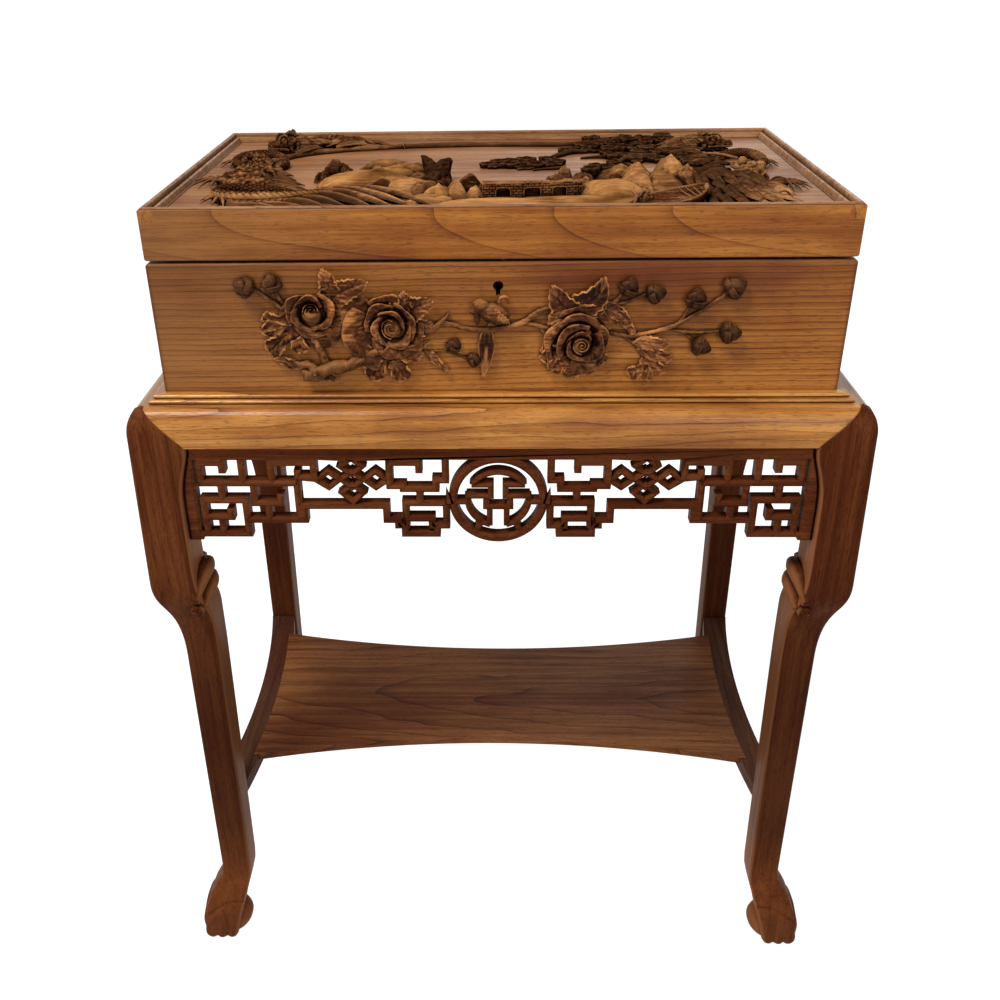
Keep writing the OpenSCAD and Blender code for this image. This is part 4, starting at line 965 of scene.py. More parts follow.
# %% Leaf
def leaf(world, base, tip, width, low=1.5, high=5.0, bend=0.0, fold=0.16, wave=1.2, teeth=6,
         blunt=0.6, thick=1.7, phase=0.0):
    """A toothed leaf from base to tip, (across, up). bend curves it sideways, fold lifts its two
    halves, wave ruffles its edge, and a higher blunt moves its widest place to the tip."""
    along = Vector((tip[0] - base[0], tip[1] - base[1]))
    length = along.length
    along.normalize()
    side = Vector((-along.y, along.x))

    def place(s, t):
        u = 2 * s - 1
        wide = width / 2 * max(0.02, sin(pi * min(1, t) ** blunt)) ** 0.75
        tooth = (t * teeth + phase) % 1
        wide *= 1 - 0.2 * (1 - tooth) * abs(u) ** 4 * (t > 0.06)
        x = length * (t + 0.05 * abs(u) * sin(pi * t))
        veins = abs(sin(pi * (t * teeth - abs(u) * 1.3 + phase))) ** 0.5
        out = (lerp(low, high, sin(pi * min(1, t * 0.75 + 0.05)))
               + fold * width * abs(u) ** 1.3 * sin(pi * min(1, t + 0.05)) * 0.6
               - 1.1 * hump(u * 7) - 0.5 * (1 - veins) * (abs(u) > 0.06)
               + wave * sin(2 * pi * (t * 1.6 + phase) + 2.2 * u) * abs(u) ** 2)
        spot = Vector(base) + along * x + side * (u * wide + bend * sin(pi * t) + bend * 0.6 * t)
        return world(spot.x, spot.y, max(0.2, out))

    return sheet("leaf", 18, 26, place, thick, 0)


def leaves(specs):
    """Leaves on the front board, each from its base, tip, width and looks."""
    return [leaf(front, base, tip, width, **looks) for base, tip, width, looks in specs]


# %% Petals and a rose
PETAL_THICK = 2.3


def petal(world, heart, toward, spread, radii, heights, curl, lean, squash, turn, frill, spiral):
    """One petal of a rose: a wall round the heart, centred on the angle toward and spread wide,
    that climbs from radii[0] to radii[1], and from heights[0] to heights[1]. curl turns its rim
    out, frill ruffles it, and spiral lets one edge lie outside the next petal."""
    axis = radians(turn)

    def place(s, t):
        u = 2 * s - 1
        angle = radians(toward + u * spread)
        rim = 1 - 0.35 * abs(u) ** 3
        radius = lerp(radii[0], radii[1], (1 - (1 - t) ** 1.8) * (0.6 + 0.4 * rim)) + spiral * u
        height = lerp(heights[0], heights[1], t ** 0.8 * rim)
        roll = soft_step(0.72, 1.0, t)
        radius += curl * roll + 0.16 * radii[1] * roll * max(0, 1 - 1.5 * abs(u + 0.2))
        height -= curl * 0.75 * roll ** 2
        ruffle = frill * sin(5 * pi * s) * t ** 2
        radius += ruffle * 0.6
        height += ruffle
        x, y = turned(radius * cos(angle), radius * sin(angle) * squash, axis)
        return by_heart(world, heart, lean, x, y, height, 0.1)

    return sheet("petal", 16, 10, place, PETAL_THICK, 1)


def rolled_heart(world, heart, radius, height, lean, squash, turn, turns):
    """The unopened middle: one strip of petal rolled up on itself, with a plug under it."""
    axis = radians(turn)

    def place(s, t):
        angle = 2 * pi * turns * s
        r = radius * (0.1 + 0.9 * s) * (1 - 0.18 * t ** 3)
        up = height * (0.25 + 0.75 * t) - 1.4 * s * t
        x, y = turned(r * cos(angle), r * sin(angle) * squash, axis)
        return by_heart(world, heart, lean, x, y, up)

    roll = sheet("rolled_heart", 72, 6, place, radius * 0.11, 1)
    plug = rod("plug", world, [(heart[0] + lean[0] * h, heart[1] + lean[1] * h, h, radius * k)
                               for h, k in ((0, 1.0), (height * 0.3, 0.95), (height * 0.6, 0.85),
                                            (height * 0.8, 0.6))], 18, 1.5)
    return [roll, plug]


def rose(world, heart, size, height, lean, petals, squash=1.0, turn=0.0):
    """A rolled heart and its petals, each a (toward, spread, near, far, top, curl, frill). squash
    makes the rose lower than wide, and turn turns it."""
    pieces = rolled_heart(world, heart, size * 0.46, height, lean, squash, turn, 2.7)
    for toward, spread, near, far, top, curl, frill in petals:
        pieces.append(petal(world, heart, toward, spread, (size * near, size * far * 1.05),
                            (0.4, height * top), curl, lean, squash, turn, frill + 0.35,
                            spiral=0.09 * size))
    return knifed(pieces, 0.9, 0.11)

# %% [markdown]
# A bud is still closed: its petals wind round it, and each one's edge stands a little over the
# next. That is a rod whose skin steps in and out as it turns. A twig is a rod with bark.


# %% Bud and twig
def bud(world, at, toward, length=17.0, radius=7.6, out=6.5):
    """A fat bud: folds wind round it to its tip, and two sepals hug its foot."""
    a = radians(toward)
    rows = [(at[0] + cos(a) * length * (k - 0.5), at[1] + sin(a) * length * (k - 0.5), out, radius * w)
            for k, w in ((0, 0.22), (0.06, 0.55), (0.2, 0.88), (0.42, 1.0), (0.65, 0.9), (0.84, 0.58),
                         (0.95, 0.3), (1.0, 0.06))]

    def folds(s, t):
        edge = (2 * s + 1.5 * t + 0.2) % 1
        return -0.28 * (1 - edge) ** 4 * soft_step(0.1, 0.35, t) + 0.1 * edge - 0.04

    def cup(s, t):
        return 0.1 - 0.32 * t * (1 - abs(sin(3 * pi * s)) ** 0.5)

    pieces = [rod("bud", world, rows, 36, 0.6, folds, 0.85)]
    foot = [(x - cos(a) * 0.6, y - sin(a) * 0.6, out, r * 1.13) for x, y, out, r in rows[:4]]
    pieces.append(rod("bud_cup", world, foot, 36, 0.6, cup, 0.85))
    return tinted(knifed(pieces, 0.35, 0.16), -0.9)


def twig(world, points, knots):
    """A twig through (across, up, radius) points, that lies on the board."""
    def bark(s, t):
        x, y = cos(2 * pi * s), sin(2 * pi * s)
        return (knots * noise.noise(Vector((x * 1.5, y * 1.5, t * 9)))
                - 0.16 * abs(noise.noise(Vector((x * 3.4, y * 3.4, t * 4)))))

    piece = rod("twig", world, [(x, y, max(1.6, r * 1.1), r) for x, y, r in points], 12, 1.2, bark)
    return tinted(knifed([piece], 0.6, 0.2), -0.3)[0]


print("tools for flowers ready")

# %% [markdown]
# The left spray holds two open roses, each turned its own way, a gnarled stem with sawn ends, a
# pair of buds and a crown of toothed leaves.

# %% Roses at the left
roses = rose(front, (-161, 751), 21, 13, (0.10, 0.85), [
    (100, 62, 0.50, 0.60, 0.98, 1.6, 0), (215, 60, 0.52, 0.72, 0.86, 2.2, 0),
    (325, 60, 0.52, 0.74, 0.84, 2.2, 0), (20, 50, 0.6, 0.82, 0.92, 2.0, 0),
    (160, 50, 0.62, 0.86, 0.94, 2.2, 0), (265, 55, 0.66, 0.84, 0.5, 2.5, 0),
    (190, 45, 0.75, 1.08, 0.4, 3.0, 0.4), (350, 50, 0.78, 1.18, 0.45, 3.2, 0.4),
    (305, 42, 0.85, 1.22, 0.25, 3.0, 0.5), (228, 42, 0.8, 1.15, 0.2, 3.0, 0.5)], 0.92)
roses += rose(front, (-92, 742), 22, 12.5, (-0.05, 0.12), [
    (45, 70, 0.44, 0.56, 0.98, 1.5, 0), (170, 70, 0.46, 0.6, 0.95, 1.5, 0),
    (290, 66, 0.48, 0.64, 0.9, 1.8, 0), (0, 55, 0.62, 0.8, 0.82, 2.2, 0),
    (110, 55, 0.62, 0.82, 0.84, 2.2, 0), (235, 55, 0.64, 0.9, 0.66, 2.6, 0),
    (300, 50, 0.7, 1.0, 0.6, 3.0, 0.3), (60, 48, 0.75, 0.98, 0.6, 2.4, 0.3),
    (175, 48, 0.85, 1.5, 0.85, 4.0, 0.6), (140, 36, 0.9, 1.45, 0.5, 3.4, 0.5)], 1.15, 25)
roses += leaves((
    ((-143, 768), (-150, 795), 20, dict(bend=-2, high=6)),
    ((-144, 768), (-110, 781), 24, dict(bend=3, high=7, teeth=8)),
    ((-144, 768), (-118, 768), 12, dict(bend=-3, low=1, high=4)),
    ((-181, 752), (-205, 752), 19, dict(bend=2, teeth=4, blunt=1.3, wave=2)),
    ((-178, 745), (-206, 738), 17, dict(bend=-2, teeth=4, blunt=1.4, wave=2.2, phase=0.3)),
    ((-180, 738), (-200, 718), 20, dict(bend=-2, teeth=4, blunt=1.3, wave=2.4)),
    ((-172, 736), (-176, 720), 18, dict(bend=1, teeth=3, blunt=1.3, wave=2, phase=0.5)),
    ((-84, 758), (-92, 772), 13, dict(high=5)), ((-80, 757), (-80, 775), 15, dict(high=6)),
    ((-80, 754), (-55, 764), 24, dict(high=7, bend=3, teeth=7)),
    ((-76, 744), (-56, 742), 15, dict(high=4, bend=2)),
    ((-78, 740), (-60, 729), 15, dict(high=4, bend=-2, blunt=1.2)),
    ((-94, 716), (-66, 716), 20, dict(bend=3, teeth=4, blunt=1.2, wave=2.2)),
    ((-98, 714), (-110, 692), 22, dict(bend=-3, teeth=4, blunt=1.3, wave=2.4, phase=0.4)),
    ((-96, 712), (-84, 692), 20, dict(bend=3, teeth=4, blunt=1.2, wave=2.2)),
    ((-178, 706), (-198, 713), 11, dict(teeth=3, high=4, bend=-2)),
    ((-156, 702), (-141, 695), 12, dict(teeth=2, high=5, fold=0.3))))
roses += [twig(front, rows, 0.25 if rows[0][2] > 3 else 0.12) for rows in (
    ((-105, 722, 4.5), (-118, 716, 5), (-132, 708, 6), (-147, 707, 6.4), (-160, 701, 6.8),
     (-172, 699, 5.6)),
    ((-151, 707, 4.6), (-154, 717, 3.8), (-158, 727, 3.4), (-163, 737, 3.2)),
    ((-160, 701, 6), (-166, 707, 4.8), (-176, 709, 3.4), (-188, 711, 2)),
    ((-124, 712, 4), (-117, 719, 4.2), (-111, 727, 4)),
    ((-98, 726, 5), (-88, 718, 4.5), (-78, 714, 3)),
    ((-212, 779, 1.8), (-200, 771, 2.1), (-190, 763, 2.3), (-178, 752, 2.6)),
    ((-192, 778, 1.7), (-188, 769, 1.9), (-180, 760, 2.0)),
    ((-66, 740, 2.6), (-58, 740, 3.2), (-48, 747, 2.4), (-42, 744, 2)),
    ((-56, 741, 3), (-46, 750, 2.2), (-42, 755, 1.6)),
    ((-80, 721, 1.5), (-62, 719.5, 1.4), (-48, 720, 1.5), (-36, 716, 1.4), (-26, 713, 1.4)),
    ((-48, 720, 1.3), (-40, 724, 1.3)))]
for at, toward in (((-217, 781), 155), ((-193, 784), 95)):
    roses += bud(front, at, toward, 18, 8.4)
for at, toward in (((-38, 727), 60), ((-20, 713), 15)):
    roses += bud(front, at, toward, 12.5, 6.3, 5)
roses.append(leaf(front, (-62, 719), (-43, 701), 8, teeth=5, high=3.5))
carved("roses_left", roses, 60, "flowers", "stand", "carving_roses_left")

# %% [markdown]
# In the middle sits a small bird on the branch. Its body is an egg that leans forward, with a
# capped head, a heavy beak, a folded wing, a curled feather and a long tail under the branch.

# %% Bird on its branch
def plumage(s, t):
    rows = t * 11
    cell = (s * 16 + 0.5 * (int(rows) % 2)) % 1
    return 0.035 * sin(pi * cell) * (1 - rows % 1)


bird = [rod(name, front, rows, *rest) for name, rows, *rest in (
    ("bird_body", ((-17, 757, 6, 3), (-13, 758, 7, 6.5), (-6, 757, 8, 8.6), (0, 754.5, 7.5, 8.4),
                   (5, 753, 6, 6), (9, 752, 4.5, 2.5)), 40, 0.5, plumage),
    ("bird_head", ((-21, 761.5, 8, 1.5), (-19, 762, 8.5, 4.6), (-15, 763, 9, 5.6),
                   (-11, 762, 8.5, 5.4), (-8, 760.5, 7.5, 3)), 24, 0.6),
    ("bird_cap", ((-21.5, 764, 9, 1), (-19, 766.2, 9.5, 2.4), (-14.5, 767, 10, 3.0),
                  (-10, 765, 9.5, 2.2), (-8.5, 763.5, 9, 0.8)), 16, 0.6),
    ("bird_beak", ((-17.5, 760.5, 9.5, 2.6), (-21, 758.8, 9.5, 2.0), (-25.5, 757, 9, 0.4)),
     14, 0.6, None, 0.8),
    ("bird_beak", ((-17, 758, 8.5, 2.0), (-20, 756.5, 8.5, 1.4), (-23.5, 755.8, 8.5, 0.4)),
     14, 0.6, None, 0.7),
    ("bird_bib", ((-17, 756, 6, 2.4), (-18, 751.5, 5.5, 3.0), (-18, 747, 4, 2.0),
                  (-18.5, 744.5, 3, 0.8)), 16, 0.6))]
tinted(knifed(bird, 0.35, 0.3), -0.45)
bird.append(leaf(front, (-9, 760), (8, 750.5), 8.5, 11, 15.5, bend=1, teeth=6, wave=0.2, fold=-0.1,
                 thick=1.4))
bird.append(rod("bird_curl", front, [(3, 758, 6, 1.8), (0.5, 763, 6, 1.7), (2, 769, 6, 1.6),
                                     (6, 770.5, 6, 1.5), (9, 767, 5.5, 1.2), (8.5, 763.5, 5, 0.8)],
                12, 0.6))
bird += [rod("bird_toe", front, [(x, y + 4, 5, 0.9), (x + k * 1.3, y + 1.5, 6.6, 1.1),
                                 (x + k * 2.4, y - 1.5, 5.4, 0.5)], 8, 0.6)
         for x, y in ((-6, 745.5), (7, 747.5)) for k in (-1, 0, 1)]
bird.append(leaf(front, (-9.5, 741), (-13, 697.5), 15, 2.2, 5.2, bend=0.5, fold=-0.05, wave=0.1,
                 teeth=1, blunt=0.45, thick=2))
bird += [twig(front, rows, 0.14) for rows in (
    ((-62, 738, 2.2), (-50, 745, 2.4), (-40, 744.5, 2.3), (-28, 741, 2.2), (-12, 740, 2.7),
     (6, 742.5, 2.8), (22, 747, 3.0), (32, 754, 2.6), (41, 758.5, 2.2), (56, 759, 2.0)),
    ((22, 747, 2.4), (32, 744, 2.4), (44, 740.5, 2.4), (58, 738, 2.2)),
    ((36, 743, 2.2), (43, 735, 2.6), (52, 731, 2.4), (60, 733, 2.2)))]
carved("bird_branch", bird, 60, "flowers", "stand", "carving_bird")

# %% [markdown]
# The right spray has one open rose under tall leaves, and long thin stems that carry round buds.
# The same tools make it, from its own lists.

# %% Rose at the right
right = rose(front, (71, 727), 21, 13, (0.1, 0.05), [
    (80, 65, 0.42, 0.52, 0.98, 1.5, 0), (200, 65, 0.44, 0.56, 0.92, 1.5, 0),
    (320, 60, 0.5, 0.75, 0.8, 2.4, 0), (275, 50, 0.62, 0.92, 0.7, 2.6, 0.2),
    (120, 70, 0.62, 0.8, 1.15, 3.4, 0), (15, 55, 0.72, 0.95, 0.6, 2.4, 0.3),
    (225, 50, 0.72, 1.05, 0.6, 3.0, 0.3), (90, 60, 0.95, 1.1, 0.95, 3.2, 0.3),
    (150, 45, 1.0, 1.25, 0.85, 3.0, 0.3), (60, 50, 1.05, 1.4, 0.7, 3.0, 0.4)], 1.0, 20)
right += leaves((
    ((70, 752), (49, 782), 26, dict(bend=5, high=7, teeth=6)),
    ((60, 758), (88, 789), 28, dict(bend=-6, high=9, teeth=6)),
    ((62, 757), (92, 768), 17, dict(bend=-4, high=8, teeth=5)),
    ((64, 752), (44, 744), 16, dict(bend=-3, high=6, teeth=3, blunt=1.2)),
    ((84, 762), (112, 736), 15, dict(bend=6, high=5, teeth=7)),
    ((58, 726), (37, 724), 19, dict(bend=3, blunt=1.4, teeth=3, wave=2.4)),
    ((60, 720), (37, 712), 17, dict(bend=-2, blunt=1.4, teeth=3, wave=2.4, phase=0.4)),
    ((62, 716), (46, 700), 18, dict(bend=-2, blunt=1.4, teeth=3, wave=2.4, phase=0.2)),
    ((68, 714), (61, 696), 18, dict(bend=1, blunt=1.3, teeth=3, wave=2.4, phase=0.6)),
    ((74, 714), (77, 698), 17, dict(bend=1, blunt=1.3, teeth=3, wave=2.2)),
    ((80, 717), (92, 708), 16, dict(bend=2, blunt=1.2, teeth=3, wave=2))))
carved("rose_right", right, 60, "flowers", "stand", "carving_rose_right")

# %% Buds at the right
sprays = [twig(front, rows, 0.14) for rows in (
    ((84, 760, 2.8), (94, 762, 2.8), (102, 766, 2.2), (106, 772, 2.0)),
    ((92, 761, 2.2), (106, 763, 2.0), (120, 768.5, 1.9), (128, 771, 1.9)),
    ((84, 737, 2.2), (98, 736, 2.2), (112, 733.5, 2.4), (125, 735, 2.5), (140, 739, 2.5),
     (154, 744, 2.4), (166, 751, 2.2), (178, 759, 2.1), (190, 768, 2.0), (194, 771, 2.2)),
    ((156, 746, 1.8), (160, 752, 1.8), (163, 758, 1.8), (165, 763, 1.8)),
    ((138, 739, 2.2), (156, 737.5, 1.8), (172, 736, 1.8), (190, 737, 1.8)),
    ((158, 737, 1.4), (164, 733, 1.4), (170, 728, 1.5)),
    ((104, 735, 1.6), (114, 729, 1.6), (122, 722, 1.7), (128, 711, 1.7), (131, 700, 1.4)))]
for at, toward, size in (((111, 779), 65, 1.0), ((134, 772.5), 20, 1.0), ((168, 769), 80, 1.08),
                         ((200, 778), 35, 1.15), ((200, 737), 0, 1.1), ((176, 724), -20, 1.0)):
    sprays += bud(front, at, toward, 17 * size, 7.6 * size)
sprays += leaves((
    ((90, 758), (112, 745), 11, dict(bend=3, teeth=5, high=5)),
    ((102, 750), (116, 733), 9, dict(bend=3, teeth=4, high=4)),
    ((117, 728), (146, 722), 15, dict(bend=3, teeth=5, high=7, blunt=1.1, wave=2)),
    ((121, 722), (150, 710), 15, dict(bend=2, teeth=5, high=6, blunt=1.1, wave=2)),
    ((126, 714), (146, 699), 13, dict(bend=1, teeth=4, high=5, blunt=1.1, wave=2)),
    ((130, 706), (117, 694), 15, dict(bend=-3, teeth=4, high=5, blunt=1.2, wave=1.4)),
    ((128, 714), (132, 691), 12, dict(bend=1, teeth=4, high=4))))
carved("buds_right", sprays, 60, "flowers", "stand", "carving_buds_right")

# %% [markdown]
# ## The relief on the lid
# The lid's field is a landscape in high relief: two dragons curl round the ends, a cord frames an
# oval lake, and in the lake stand hills, a bridge, pines and a boat. Each motif gets the tool that
# suits it: bodies are rods with raised scales, hills and rocks are one bent sheet whose height is
# that of the tallest stone at each place, and pine branches are heaps of small lobed pads.

# %% Places on the lid, and scales
FIELD = 838


def on_lid(across, back, up):
    return Vector((across, back, FIELD + up))


def scales(rows, round_it=12, high=0.13):
    """Raised scales for a dragon's skin, each a small shell that covers the root of the next."""
    def skin(s, t):
        row = t * rows
        cell = (s * round_it + 0.5 * (int(row) % 2)) % 1
        edge = 1 - abs(2 * cell - 1) ** 2.5
        return high * edge * (row % 1) ** 0.7 - high * 0.4
    return skin


def belly(rows, high=0.16):
    """Plates that meet in a V along the front of the body, over scales on its back."""
    back = scales(rows, 13, 0.13)

    def skin(s, t):
        if 0.2 < s < 0.8:
            return back(s, t)
        across = s if s <= 0.2 else s - 1
        row = (t * rows * 0.8 + 5.0 * abs(across - 0.03)) % 1
        return high * row ** 0.8 - 0.12 - 0.1 * hump((across - 0.03) * 60)
    return skin

# %% [markdown]
# Light and shade are painted into the tone: what faces the front is made paler, and what lies
# behind is made darker. So a tone reads the way the surface faces, and each kind of form has its own
# rule.


# %% Painted light and shade of a dragon
def painted_light_and_shade(normal):
    """Painted light where the surface faces the front, and painted shade where it faces up and back."""
    return (0.75 * soft_step(0.1, 0.6, -normal.y)
            - 0.7 * soft_step(0.3, 0.9, normal.z + 0.6 * normal.y))


def dark_curl_painted_light(normal):
    """A curl of mane is dark wood, with painted light where it faces the front and painted shade where
    it faces up and back.
    """
    return painted_light_and_shade(normal) * 0.6 - 0.3


def dark_lock_painted_light(normal):
    """A lock of the big mane is dark wood, with painted shade where it faces up and a little painted
    light where it faces the front.
    """
    return (0.2 * soft_step(0.3, 0.9, -normal.y + 0.3 * normal.z)
            - 0.5 * soft_step(0.7, 0.98, normal.z) - 0.3)


def dark_feather_painted_light(normal):
    """A long feather is dark wood, with painted light where it faces up."""
    return soft_step(0.75, 0.99, normal.z) - 0.8

# %% [markdown]
# The small parts of a dragon are few in kind: talons, whiskers, feathers, round knees and coils.
# Each kind is one function, so a whole dragon becomes a list of places.


# %% Parts of a dragon
def strand(points, radius, low=1.0):
    """A talon or a whisker: fat near its root and thin at its tip."""
    n = len(points) - 1
    rows = [(x, y, low + z + 0.7 * radius * sin(pi * min(1, i / n + 0.15)),
             radius * max(0.12, (1 - (i / n) ** 1.6) * (0.75 + 0.25 * sin(pi * i / n))))
            for i, (x, y, z) in enumerate(points)]
    return rod("strand", on_lid, rows, 8, 1.2)


def feather(points, radius, low=1.0, lift=1.0):
    """A long pointed feather with a sharp ridge along its back."""
    def keel(s, t):
        return (0.22 * (1 - abs(sin(2 * pi * s)) ** 0.7) + 0.3 * max(0, sin(2 * pi * s)) ** 6
                + 0.12 * noise.noise(Vector((s * 3, t * 6, points[0][0]))))

    n = len(points) - 1
    rows = [(x, y, low + z * lift, radius * max(0.1, sin(pi * min(1, 0.2 + 0.8 * i / n)) ** 0.8))
            for i, (x, y, z) in enumerate(points)]
    return rod("feather", on_lid, rows, 12, 1.3, keel, 0.8)


def claws(*specs):
    """Talons that fan out from a place: (place, heading, how many, spread, length, radius)."""
    out = []
    for (x, y), toward, count, spread, length, radius in specs:
        for i in range(count):
            k = (i / (count - 1) - 0.5) * 2
            a = radians(toward + k * spread)
            b = radians(toward + k * spread + 12.0 * (1 if k >= 0 else -1))
            reach = length * (1 - 0.2 * k * k)
            out.append(strand([(x + 3.0 * cos(a), y + 3.0 * sin(a), 1.5),
                               (x + reach * 0.5 * cos(a), y + reach * 0.5 * sin(a), 3),
                               (x + reach * cos(b) * 0.98, y + reach * sin(b) * 0.98, 0)], radius, 0.8))
    return tinted(out, -0.3)


def ball(world, at, radii, ruffle, seed, fine, low=-1.0, turn=0.0):
    """A ball of wood, stretched, broken by noise and cut off at the ground."""
    lump = added(bpy.ops.mesh.primitive_ico_sphere_add, subdivisions=fine, radius=1)
    for point in lump.data.vertices:
        p = point.co.normalized()
        k = 1 + ruffle * (noise.noise(p * 1.7 + Vector((seed, seed, 0)))
                          - 0.8 * abs(noise.noise(p * 3.1 + Vector((0, seed, seed)))))
        x, y = turned(p.x * radii[0] * k, p.y * radii[1] * k, radians(turn))
        point.co = world(at[0] + x, at[1] + y, max(low, at[2] + p.z * radii[2] * k)) * MM
    return lump


def dome(at, radius, rows=9, round_it=20):
    """A round scaly knee."""
    def studs(s, t):
        row = t * rows
        cell = (s * round_it + 0.5 * (int(row) % 2)) % 1
        return 0.05 * sin(pi * cell) * sin(pi * (row % 1))

    return rod("dome", on_lid, [(at[0], at[1], at[2] + radius * sin(w), radius * max(0.02, cos(w)))
                                for w in (i * pi / 20 for i in range(-2, 11))], 48, 0.35, studs)


def coil(rows, mark, skin, sides=44):
    """A length of a dragon's body."""
    return tinted([rod("body", on_lid, rows, sides, 0.6, skin)], mark)


def feathers(specs, mark, swell=1.0):
    return tinted([feather(rows, radius * swell, 0.8, 0.9) for rows, radius in specs], mark)


# %% [markdown]
# ### Hills and rocks
# A stone has a middle, two half widths, a turn and a height. Over the grid of the field the tallest
# stone wins at every point, so stones cross in crisp creases, as they do under a gouge. Hollows
# are taken away afterwards. Noise folds every stone, and the faces at ground level are deleted.


# %% One sheet of stones
GRID, SHARP = 0.9, 0.65


def stone_height(spec, x, y):
    """A stone's height over a place, or -1 where the stone isn't."""
    sx, sy, rx, ry, turn, high, steep, fold, seed = spec
    u, v = turned(x - sx, y - sy, -radians(turn))
    u, v = u / rx, v / ry
    crease = noise.noise(Vector((u * 1.5 + seed, v * 1.5, seed)))
    round_rim = u * u + v * v * (1 + 0.2 * crease)
    sharp_rim = 0.95 * (abs(u) ** 1.35 + abs(v) ** 1.35)
    rim = (sharp_rim if steep > SHARP else round_rim) + 0.7 * fold * crease
    if rim >= 1:
        return -1
    folds = (abs(noise.noise(Vector((u * 1.1 + seed, v * 1.6 + seed, 1.0))))
             + 0.45 * abs(noise.noise(Vector((u * 2.4 + v * 1.4, v * 2.6 + seed, 2.0)))))
    grain = abs(noise.noise(Vector((x * 0.07 + 0.03 * y, y * 0.12, seed))))
    return (high * max(0.02, 1 - rim) ** steep * (1 - 1.5 * fold * folds)
            - 2.4 * (0.25 + fold) * grain)


def steps_near(middle, reach, edge, count):
    """The grid's steps that lie within reach of a middle."""
    return range(max(0, int((middle - reach - edge) / GRID)),
                 min(count, int((middle + reach - edge) / GRID)) + 1)


def heights(across, deep, left, front_edge, specs, hollows):
    """The tallest stone's height and tone at each place of the grid, with hollows sunk and given painted
    shade.
    """
    tall = [[-1.0] * (deep + 1) for i in range(across + 1)]
    mark = [[0.0] * (deep + 1) for i in range(across + 1)]
    for *spec, stone_tone in specs:
        reach = max(spec[2], spec[3]) * 1.25
        for i in steps_near(spec[0], reach, left, across):
            for j in steps_near(spec[1], reach, front_edge, deep):
                high = stone_height(spec, left + i * GRID, front_edge + j * GRID)
                if high > tall[i][j]:
                    tall[i][j], mark[i][j] = high, stone_tone
    for hx, hy, rx, ry, deepness in hollows:
        for i in range(across + 1):
            for j in range(deep + 1):
                d = ((left + i * GRID - hx) / rx) ** 2 + ((front_edge + j * GRID - hy) / ry) ** 2
                if d < 1 and tall[i][j] > 0:
                    tall[i][j] = max(0.3, tall[i][j] - deepness * (1 - d) ** 0.6)
                    # painted shade: a hollow is darker towards its middle
                    mark[i][j] -= 1.4 * (1 - d) ** 0.5
    return tall, mark


def stones(name, box, specs, hollows):
    """The sheet over all stones, with their tones, cut where the ground is bare."""
    left, right, front_edge, back_edge = box
    across, deep = int((right - left) / GRID), int((back_edge - front_edge) / GRID)
    tall, mark = heights(across, deep, left, front_edge, specs, hollows)

    def place(s, t):
        i, j = round(s * across), round(t * deep)
        return on_lid(left + i * GRID, front_edge + j * GRID, max(-0.6, tall[i][j]))

    piece = bent_grid(name, across, deep, place)
    layer = piece.data.attributes.new("tone", "FLOAT", "POINT")
    for point, cell in zip(piece.data.vertices, layer.data):
        i, j = round((point.co.x / MM - left) / GRID), round((point.co.y / MM - front_edge) / GRID)
        cell.value = mark[i][j]
    ground = (FIELD - 0.5) * MM
    in_edit(piece, lambda: bpy.ops.mesh.select_mode(type="FACE"),
            lambda: bpy.ops.mesh.select_all(action="DESELECT"))
    for face in piece.data.polygons:
        face.select = all(piece.data.vertices[k].co.z < ground for k in face.vertices)
    bpy.ops.object.mode_set(mode="EDIT")
    bpy.ops.mesh.delete(type="FACE")
    bpy.ops.mesh.select_mode(type="VERT")
    bpy.ops.object.mode_set(mode="OBJECT")
    skin = piece.modifiers.new("thickness", "SOLIDIFY")
    skin.thickness, skin.offset = 1.0 * MM, -1
    apply_all(piece)
    return piece

# %% [markdown]
# Low wide stones make the shore, tall narrow ones the peaks. A few thick rods stand among them as
# horns of rock, because these lean over, and one height for each place can't show that.

# %% The hills
HILL_BOX = (-182, 210, -160, 12)
